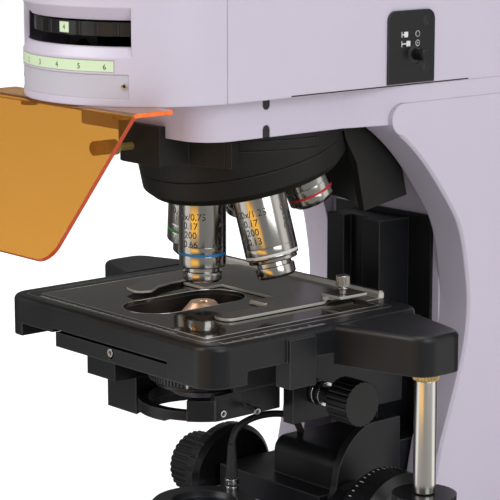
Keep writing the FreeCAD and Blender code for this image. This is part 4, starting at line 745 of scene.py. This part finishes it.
halfStrip = stripSpec["radius"] * math.radians(stripSpec["halfTurn"])
stripParts = [mark(onCover(0, stripSpec["z"], stripSpec["radius"]), -halfStrip, halfStrip, -stripSpec["halfHeight"],
                   stripSpec["halfHeight"], 0.0, 0.6, 0, 48)]
tileParts = []
for index in range(6):
    digit = onCover((index - 2.5) * stripSpec["step"], stripSpec["z"] - 0.4, stripSpec["radius"] + 0.62)
    stripParts.append(word(str(index + 1), stripSpec["digits"], digit, 1, 0.03))
    degrees = tileSpec["first"] + 60.0 * index
    tileParts.append(mark(onCover(degrees, tileSpec["z"], tileSpec["radius"]), -tileSpec["halfWidth"],
                          tileSpec["halfWidth"], -tileSpec["halfHeight"], tileSpec["halfHeight"], -1.0, 0.5, 0, 4))
    digit = onCover(degrees, tileSpec["z"] - 0.1, tileSpec["radius"] + 0.52)
    tileParts.append(word(str(index + 1), tileSpec["digits"], digit, 1, 0.03))
makePiece({"name": "filter_number_strip", "body": "stand", "materials": ["pale_green", "black_ink"]}, stripParts)
makePiece({"name": "wheel_number_tiles", "body": "filter_turret", "materials": ["pale_green", "black_ink"]},
          tileParts)

# Two screws of the access plate, each pointing out from the cover's axis
plateScrew = {"degrees": 39.6, "z": 316.2, "radius": 67.6}
plateParts = []
for side in (-1, 1):
    place = onCover(side * plateScrew["degrees"], plateScrew["z"], plateScrew["radius"])
    spot = place(*np.zeros((3, 1)))[0]
    plateParts += socketScrew(spot, unit(spot - headCentre - np.array([0, 0, plateScrew["z"]])), 1.7, 0.5)
makePiece({"name": "access_plate_screws", "body": "stand", "materials": ["steel", "black_ink"]}, plateParts)
print("stage: numbers")

# Stage: polished bevel lines round the inlay, its slot and the plate, ruler ticks, and a screw
slotSpec = {"x": 1.5, "radius": 18.5, "ends": ((-33.5, math.pi), (5.5, 0.0))}
halfRound = np.linspace(0, math.pi, 17)
slotLoop = np.concatenate([
    np.column_stack([slotSpec["x"] + slotSpec["radius"] * np.cos(start + halfRound),
                     y + slotSpec["radius"] * np.sin(start + halfRound), np.full(17, 190.0)])
    for y, start in slotSpec["ends"]])
thin = [(-0.45, -0.25), (0.45, -0.25), (0.35, 0.12), (-0.35, 0.12)]
inlayLoop = [(x, y, 190.0) for x, y in roundRectangle(-65.7, 77.7, -61.7, 59.7, 1.2, 4)]
outerLoop = [(x, y, 190.0) for x, y in roundRectangle(-72.5, 84.0, -68.0, 64.0, 3.0, 5)]
makePiece({"name": "inlay_bevel", "body": "stage", "slot": "steel", "materials": ["bevel_line"]},
          [swept(inlayLoop, thin), swept(slotLoop, [(s * 0.6, t) for s, t in thin]),
           swept(outerLoop, [(s * 0.45, t * 0.8) for s, t in thin])])
sideScale = {"count": 46, "x": 93.0, "y": -62.0, "step": 1.5, "lengths": (2.0, 3.4, 5.0)}
frontScale = {"count": 120, "x": -60.0, "y": -66.6, "step": 1.0, "lengths": (1.2, 2.0)}
tickParts = []
top = onPlane((0, 0, 190.02), (1, 0, 0), (0, 1, 0))
for index in range(sideScale["count"]):
    length = sideScale["lengths"][(index % 5 == 0) + (index % 10 == 0)]
    y = sideScale["y"] + index * sideScale["step"]
    tickParts.append(mark(top, sideScale["x"] - length, sideScale["x"], y - 0.2, y + 0.2, 0.0, 0.05))
for index in range(frontScale["count"]):
    x = frontScale["x"] + index * frontScale["step"]
    length = frontScale["lengths"][index % 5 == 0]
    tickParts.append(mark(top, x - 0.12, x + 0.12, frontScale["y"], frontScale["y"] + length, 0.0, 0.05))
makePiece({"name": "stage_scales", "body": "stage", "materials": ["white_ink"]}, tickParts)
makePiece({"name": "underplate_screw", "body": "stage_carrier", "materials": ["steel", "black_ink"]},
          socketScrew((12.5, -73.0, 172.5), (0, -1, 0), 2.3, 0.8))
print("stage: stage details")

# Holder, rail and finger: dark polished plates with bright edges, and a fluted clamp screw
# Outline from corners (x, y, radius), each rounded by an arc that reaches radius / tan(half the opening) from it
def rounded(corners):
    points = [np.array(c[:2], float) for c in corners]
    outline = []
    for index, corner in enumerate(points):
        before, after = points[index - 1], points[(index + 1) % len(points)]
        opening = math.acos(float(np.clip(np.dot(unit(before - corner), unit(after - corner)), -1.0, 1.0)))
        reach = min(corners[index][2] / math.tan(opening / 2), 0.48 * np.linalg.norm(before - corner),
                    0.48 * np.linalg.norm(after - corner))
        outline += cornerArc(before, corner, after, reach, 5)
    return outline


# Thin plate from such corners: the first material on its faces, the second round its edge
def edgedPlate(corners, low, high, chamfer=0.22):
    outline = rounded(corners)
    points, faces = plate(outline, low, [(0.0, 0.0), (0.0, high - low - chamfer), (chamfer, high - low)])
    sides = 2 * len(outline)
    return [(points, faces[:sides], 1), (points, faces[sides:], 0)]


holderCorners = [(43.9, -31.0, 6.8), (57.7, -31.0, 6.8), (57.7, 38.0, 2.0), (50.5, 48.0, 3.0), (50.5, 70.0, 1.0),
                 (-50.0, 70.0, 4.0), (-61.0, 58.0, 5.0), (-61.0, 27.0, 5.0), (-33.0, 27.0, 2.0), (-33.0, 12.0, 1.5),
                 (-14.0, 12.0, 1.5), (-14.0, 25.0, 1.0), (30.0, 25.0, 1.0), (30.0, 7.5, 1.0), (43.9, 7.5, 1.0)]
tabCorners = [(49.5, 42.0, 2.0), (66.0, 42.0, 2.0), (66.0, 62.4, 1.5), (49.5, 62.4, 1.5)]
hookCorners = [(31.0, 7.7, 0.4), (43.0, 7.7, 0.4), (43.0, 9.6, 0.4), (31.0, 9.6, 0.4)]
postCorners = [(49.5, 44.0, 1.0), (53.5, 40.0, 1.0), (57.5, 44.0, 1.0), (57.5, 60.0, 1.0), (49.5, 60.0, 1.0)]
holderParts = []
for corners, low, high in ((holderCorners, 190.35, 191.8), (tabCorners, 193.4, 194.8), (postCorners, 191.7, 193.5),
                           (hookCorners, 191.7, 192.6)):
    holderParts += edgedPlate(corners, low, high)
makePiece({"name": "holder_plate", "body": "specimen_holder", "slot": "steel",
           "materials": ["holder_plate", "edge_silver"], "replaces": ["specimen_holder"]}, holderParts)
railCorners = [(-78.0, 70.4, 0.8), (66.0, 70.4, 0.8), (66.0, 74.8, 0.8), (-78.0, 74.8, 0.8)]
ledgeCorners = [(-78.0, 62.0, 0.5), (66.0, 62.0, 0.5), (66.0, 70.6, 0.5), (-78.0, 70.6, 0.5)]
makePiece({"name": "rail_lip", "body": "stage", "slot": "steel", "materials": ["holder_plate", "edge_silver"],
           "replaces": ["stage_guide_rail"]},
          edgedPlate(railCorners, 189.9, 194.2, 1.4) + edgedPlate(ledgeCorners, 189.9, 190.25, 0.1))
leafCorners = [(-36.5, -25.0, 4.0), (-23.5, -28.0, 5.0), (-20.5, -19.5, 3.0), (-28.0, -9.0, 6.0), (-31.5, 3.0, 6.0),
               (-33.0, 30.0, 3.0), (-37.0, 40.0, 5.0), (-50.0, 40.0, 6.0), (-55.0, 20.0, 10.0), (-49.5, 0.0, 14.0)]
makePiece({"name": "finger_leaf", "body": "holder_finger", "slot": "steel",
           "materials": ["holder_plate", "edge_silver"], "replaces": ["holder_finger"]},
          edgedPlate(leafCorners, 192.1, 193.3)
          + [turned([(0, 0), (3.1, 0), (3.1, 0.9), (2.5, 1.3), (0, 1.3)], (-39.0, 33.0, 193.2), (0, 0, 1), 40, 0.2,
                    number=1)])
holderScrew = {"place": (60.0, 49.0, 194.8), "flutes": 24, "depth": 0.35}
makePiece({"name": "holder_clamp_screw", "body": "specimen_holder", "slot": "steel", "materials": ["steel"],
           "replaces": ["holder_screw"]},
          [turned([(0, 0), (2.1, 0), (2.1, 2.6), (3.1, 2.9), (3.1, 3.6), (2.3, 3.9), (2.3, 4.4), (3.75, 4.7),
                   (3.75, 10.0), (3.3, 10.5), (0, 10.5)], holderScrew["place"], (0, 0, 1), 144, 0.2,
                  flutes(holderScrew["flutes"], holderScrew["depth"], 4.8, 10.0), 0.35)])

# Top lens of the condenser: a coppery cone with a painted glow, and a black disc as the lens, painted shade of the
# dark inside seen through it
makePiece({"name": "condenser_cone", "body": "condenser", "slot": "lens_glass",
           "materials": ["copper", "black_ink", "lens_glass"], "replaces": ["condenser_top_lens"]},
          [turned([(11.8, 175.9), (15.2, 176.0), (15.2, 178.2), (8.0, 186.6), (6.9, 187.9), (3.4, 187.9),
                   (3.0, 187.2), (2.6, 186.4)], *opticalAxis, 96, 0.25),
           # Black disc in the cone: painted shade standing in for the lens
           turned([(0, 186.2), (2.6, 186.2), (3.2, 187.0), (3.0, 187.0), (0, 186.4)], *opticalAxis, 64, 0.05,
                  number=1)])
print("stage: holder and condenser lens")

# Drive shaft: smooth steel with a brassy collar of helical grooves
shaftSpec = {"upright": ((134.0, 39.0, 0.0), (0, 0, 1)), "grooves": 24, "depth": 0.55, "lean": 0.9,
             "collar": (163.3, 168.7)}
makePiece({"name": "drive_shaft_steel", "body": "stage", "slot": "steel", "materials": ["turned_steel", "brass"],
           "replaces": ["stage_drive_shaft"]},
          [turned([(0, 60.0), (2.95, 60.0), (2.95, 102.3), (5.6, 102.3), (6.0, 102.8), (6.0, 162.9), (5.4, 163.0),
                   (5.4, 183.0), (0, 183.0)], *shaftSpec["upright"], 96, 0.25),
           turned([(5.3, 162.9), (6.6, 163.0), (7.0, 163.6), (7.0, 168.4), (6.6, 168.9), (5.3, 169.0)],
                  *shaftSpec["upright"], 192, 0.2,
                  helix(shaftSpec["grooves"], shaftSpec["depth"], shaftSpec["lean"], *shaftSpec["collar"]), 0.25, 1)])

# Condenser: glossy cone under its rim, and two rings of rib blocks, the lower one with a white index line
ribSpec = {"ringRadius": 29.5, "ribs": 84, "upperRadius": 26.0, "upperRibs": 96, "reach": 0.75}
ringParts = [turned([(20.4, 144.9), (28.2, 144.9), (ribSpec["ringRadius"], 145.6), (ribSpec["ringRadius"], 150.6),
                     (29.0, 151.1), (20.4, 151.1)], *opticalAxis, 168, 0.25, number=2)]
barrelParts = [turned([(14.0, 137.0), (16.5, 137.0), (24.5, 142.2), (27.4, 142.6), (27.4, 144.7), (20.0, 144.7),
                       (20.0, 151.3), (ribSpec["upperRadius"], 151.4), (ribSpec["upperRadius"], 157.0), (24.2, 157.4),
                       (24.2, 162.0), (22.0, 165.0), (16.0, 165.0), (16.0, 172.0), (12.0, 175.9), (8.5, 175.9),
                       (8.5, 160.0), (14.0, 160.0), (14.0, 137.0)], *opticalAxis, 160, 0.25)]
for count, radius, low, high, parts in ((ribSpec["ribs"], ribSpec["ringRadius"], 145.9, 150.4, ringParts),
                                        (ribSpec["upperRibs"], ribSpec["upperRadius"], 151.9, 156.6, barrelParts)):
    halfWidth = math.pi * radius / count * 0.52
    for index in range(count):
        rib = onBarrel(*opticalAxis, toCamera, radius, 2 * math.pi * index / count)
        parts.append(mark(rib, -halfWidth, halfWidth, low, high, -0.3, ribSpec["reach"], 1))
indexLine = onBarrel((0, 0, 148.2), (0, 0, 1), toCamera, ribSpec["ringRadius"], -0.27)
ringParts.append(mark(indexLine, -0.55, 0.55, -2.6, 2.5, -0.3, ribSpec["reach"] + 0.1, 0))
makePiece({"name": "iris_ring_ribs", "body": "condenser_iris", "slot": "black_plastic",
           "materials": ["white_ink", "rib_black", "black_ink"], "replaces": ["condenser_iris_ring"]}, ringParts)
makePiece({"name": "condenser_barrel", "body": "condenser", "slot": "black_metal",
           "materials": ["black_gloss", "rib_black"], "replaces": ["condenser_body"]}, barrelParts)

# Fork: the solid's own mesh with its right arm raised and cut at a face, and its left arm's faces moved inwards
forkSpec = {"rightFace": 33.5, "rightBottom": 129.4, "leftBottom": 122.4, "leftOuter": -53.5, "leftInner": -27.0,
            "middle": 10, "lowBelow": 127, "outerWas": -50.9, "innerWas": -32.85, "innerFront": -20}
forkMesh = nodes["condenser_fork"].data.copy()
forkStored = np.empty(len(forkMesh.vertices) * 3)
forkMesh.vertices.foreach_get("co", forkStored)
forkX, forkY, forkZ = (forkStored.reshape(-1, 3) * 1000 - np.array([axisX, axisY, 0.0]) * 1000).T
isRight, isLow = forkX > forkSpec["middle"], forkZ < forkSpec["lowBelow"]
isInner = (abs(forkX - forkSpec["innerWas"]) < 0.3) & (forkY < forkSpec["innerFront"])
forkZ = np.where(isRight, np.maximum(forkZ, forkSpec["rightBottom"]), np.where(isLow, forkSpec["leftBottom"], forkZ))
forkX = np.where(forkX < forkSpec["outerWas"], forkSpec["leftOuter"],
                 np.where(isInner, forkSpec["leftInner"], np.minimum(forkX, forkSpec["rightFace"])))
forkFaces = [tuple(face.vertices) for face in forkMesh.polygons]
bpy.data.meshes.remove(forkMesh)
makePiece({"name": "fork_frame", "body": "condenser", "slot": "black_metal", "materials": ["black_metal"],
           "replaces": ["condenser_fork"]},
          [(np.column_stack([forkX, forkY, forkZ]), forkFaces, 0),
           (*plate([(29.4, -19.0), (33.6, -19.0), (33.6, 27.0), (29.4, 27.0)], forkSpec["rightBottom"],
                   [(0.3, 0.0), (0.0, 0.3), (0.0, 14.0), (0.3, 14.3)]), 0)])
makePiece({"name": "fork_screws", "body": "condenser", "slot": "steel", "materials": ["chrome", "black_ink"]},
          socketScrew((33.6, -14.0, 133.2), (1, 0, 0), 2.0, 0.8)
          + [squareRing(0, 2.6, -0.2, 0.15, (33.6, 3.0, 135.0), (1, 0, 0), 40, 0.1, 1),
             turned([(0, 0), (1.2, 0), (1.2, 7.6), (2.1, 8.0), (2.1, 10.6), (1.6, 11.2), (0, 11.2)],
                    (33.6, 3.0, 135.0), (1, -0.12, -0.1), 40, 0.2)])
makePiece({"name": "condenser_knob_washer", "body": "condenser_knob", "slot": "chrome", "materials": ["chrome"]},
          [turned([(3.4, 0.2), (6.3, 0.2), (7.0, 0.9), (7.0, 3.0), (5.9, 3.6), (5.9, 5.4), (6.8, 6.0), (6.8, 8.3),
                   (3.4, 8.3)], (42.3, 46.6, 137.0), (1, 0, 0), 72, 0.3)])
makePiece({"name": "lead_plug_rings", "body": "stand", "slot": "steel", "materials": ["chrome"]},
          [turned([(2.6, 68.0), (4.1, 68.0), (4.1, 71.4), (3.5, 71.8), (3.5, 73.0), (4.1, 73.4), (4.1, 75.2),
                   (3.6, 75.5), (3.6, 76.2), (4.1, 76.5), (4.1, 79.6), (3.6, 80.0), (2.6, 80.0)],
                  (-7.0, 26.6, 0.0), (0, 0, 1), 64, 0.2)])
print("stage: condenser and fork")

# Field stop panel: black discs sunk in its two holes as painted shade, a collar round the rod, and white marks of the
# rod's two places
stopSpec = {"face": 69.2, "marks": 69.22, "rod": (93.3, 323.0), "holes": (100.6, (341.0, 315.6)), "top": 337.0}
rodY, rodZ = stopSpec["rod"]
holeY, holeHeights = stopSpec["holes"]
stopParts = [squareRing(0, 2.4, -0.7, -0.3, (stopSpec["face"], holeY, z), (1, 0, 0), 40, 0.05) for z in holeHeights]
stopParts.append(turned([(2.5, -0.7), (5.4, -0.7), (5.4, -0.2), (3.6, 0.1), (2.5, 0.1)],
                        (stopSpec["face"], rodY, rodZ), (1, 0, 0), 64, 0.1))
panelFace = onPlane((stopSpec["marks"], rodY - 8.5, stopSpec["top"]), (0, 1, 0), (0, 0, 1))
for row, reach in ((-3.0, 1.4), (-8.0, 3.2)):
    for left, right, half in ((-2.6, -2.1, 1.6), (-2.1, -2.1 + reach, 0.35), (-2.1 + reach, 0.9 + reach, 1.5)):
        stopParts.append(mark(panelFace, left, right, row - half, row + half, 0.0, 0.05, 1))
for inner, outer, z, count in ((1.35, 1.75, 334.0, 40), (1.35, 1.75, 329.0, 40), (0.0, 0.55, 329.0, 24)):
    place = (stopSpec["marks"], rodY + 1.2, z)
    stopParts.append(squareRing(inner, outer, 0.0, 0.05, place, (1, 0, 0), count, 0.01, 1))
makePiece({"name": "stop_panel_marks", "body": "stand", "materials": ["black_ink", "white_ink"]}, stopParts)

# White scale on the right coarse ring, as short marks round its front edge
ringScale = {"centre": (75.0, 65.0, 64.0), "radius": 33.0, "count": 60, "lengths": (1.8, 3.2)}
scaleParts = []
for index in range(ringScale["count"]):
    turn = math.radians(index * 360.0 / ringScale["count"])
    ringFace = onBarrel(ringScale["centre"], (1, 0, 0), (0, -1, 0), ringScale["radius"], turn)
    scaleParts.append(mark(ringFace, -0.22, 0.22, 0.3, 0.3 + ringScale["lengths"][index % 5 == 0], 0.0, 0.06))
makePiece({"name": "coarse_ring_scale", "body": "coarse_focus", "materials": ["white_ink"]}, scaleParts)

# Dark joint between the covers and the arm, and black blocks in the two notches at its front, as painted shade of
# their hollows
notchSpec = {"face": 58.0, "y": -4.5, "radius": 2.45, "ends": ((285.0, 289.0), (306.0, 302.0))}
notchFace = onPlane((notchSpec["face"], notchSpec["y"], 0), (0, 1, 0), (0, 0, 1))
notchHalf = notchSpec["radius"]
notchParts = []
for edgeHeight, middle in notchSpec["ends"]:
    low, high = sorted((edgeHeight, middle))
    notchParts.append(mark(notchFace, -notchHalf, notchHalf, low + 0.05, high - 0.05, -2.9, -0.5))
    notchParts.append(squareRing(0, notchHalf, -2.9, -0.55, (notchSpec["face"], notchSpec["y"], middle), (1, 0, 0),
                                 40, 0.05))
makePiece({"name": "arm_notch_painted_shade", "body": "stand", "materials": ["black_ink"]}, notchParts)
seamFace = onPlane((68.02, 4.0, 306.4), (0, 1, 0), (0, 0, 1))
makePiece({"name": "cover_joint_shadow", "body": "stand", "materials": ["black_ink"]},
          [mark(seamFace, 0.0, 132.0, -0.1, 0.6, -0.4, 0.06)])
print("stage: panel, scale and joint")

# Service panel low on the back of the column: a mains inlet, a rocker switch and four screws
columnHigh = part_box("column_casting")[1]
rearSpec = {"y": (columnHigh.y - axisY) * 1000, "z": 92.0, "halfWidth": 34.0, "halfHeight": 19.0, "screwInset": 4}
rearFace = onPlane((0.0, rearSpec["y"], rearSpec["z"]), (-1, 0, 0), (0, 0, 1))


def rearPlate(u0, u1, v0, v1, radius, low, high, number):
    outline = np.array(roundRectangle(u0, u1, v0, v1, radius))
    points, faces = plate(outline, 0.0, [(0.0, low), (0.0, high - 0.3), (0.3, high)])
    return rearFace(points[:, 0], points[:, 1], points[:, 2]), faces, number


halfWide, halfHigh, inset = rearSpec["halfWidth"], rearSpec["halfHeight"], rearSpec["screwInset"]
rearParts = [rearPlate(-halfWide, halfWide, -halfHigh, halfHigh, 3.0, -0.4, 1.4, 0),
             rearPlate(-26.0, 4.0, -13.0, 13.0, 2.5, 1.3, 3.4, 1), rearPlate(-22.5, 0.5, -9.0, 9.0, 4.0, 3.3, 3.5, 2),
             rearPlate(10.0, 26.0, -11.0, 11.0, 1.5, 1.3, 2.8, 1), rearPlate(12.0, 24.0, -9.0, 9.0, 1.0, 2.7, 4.2, 3)]
for u, v in ((-17, -2), (-11, 2), (-5, -2)):
    rearParts.append(rearPlate(u - 1.1, u + 1.1, v - 2.4, v + 2.4, 0.4, 3.4, 4.2, 4))
for u in (inset - halfWide, halfWide - inset):
    for v in (inset - halfHigh, halfHigh - inset):
        spot = rearFace(np.array([u]), np.array([v]), np.array([1.3]))[0]
        rearParts += socketScrew(spot, (0, 1, 0), 1.7, 0.8, 4, 2)
makePiece({"name": "rear_service_panel", "body": "stand", "slot": "black_plastic",
           "materials": ["black_metal", "black_plastic", "black_ink", "black_gloss", "steel"]}, rearParts)
print("stage: service panel")

# Finishes of the solids that stay as they are
finishes = {
    "lavender_paint": ["base_casting", "column_casting", "column_side_covers", "arm_casting", "front_cover",
                       "rear_cover", "viewing_head", "eyepiece_arm_left", "eyepiece_arm_right"],
    "cover_plate": ["filter_access_plate"],
    "black_cast": ["nosepiece_mount", "objective_turret", "nosepiece_slider", "turret_plug"],
    "black_metal": ["focus_housing", "stage_bracket", "stage_underplate", "stage_top_plate", "stage_wing_right",
                    "stage_wing_left", "field_lens_housing", "field_stop_panel"],
    "black_plastic": ["column_front_panel", "base_bottom_plate", "base_lamp_module", "filter_cubes",
                      "field_stop_rod", "lamp_house", "condenser_knob", "eyepiece_left", "eyepiece_right",
                      "brightness_knob"],
    "black_gloss": ["coarse_focus_knobs", "fine_focus_knobs", "stage_y_knob", "stage_x_knob", "filter_wheel"],
    "stage_inlay": ["stage_inlay"],
    "rubber": ["rubber_feet"],
    "lead_rubber": ["lamp_lead_plug"],
    "lens_glass": ["field_lens"],
}
for finish, names in finishes.items():
    for name in names:
        mesh = nodes[name].data
        mesh.materials.clear()
        mesh.materials.append(materials[finish])
lead.data.materials.append(materials["lead_rubber"])
print("stage: finishes of the solids")
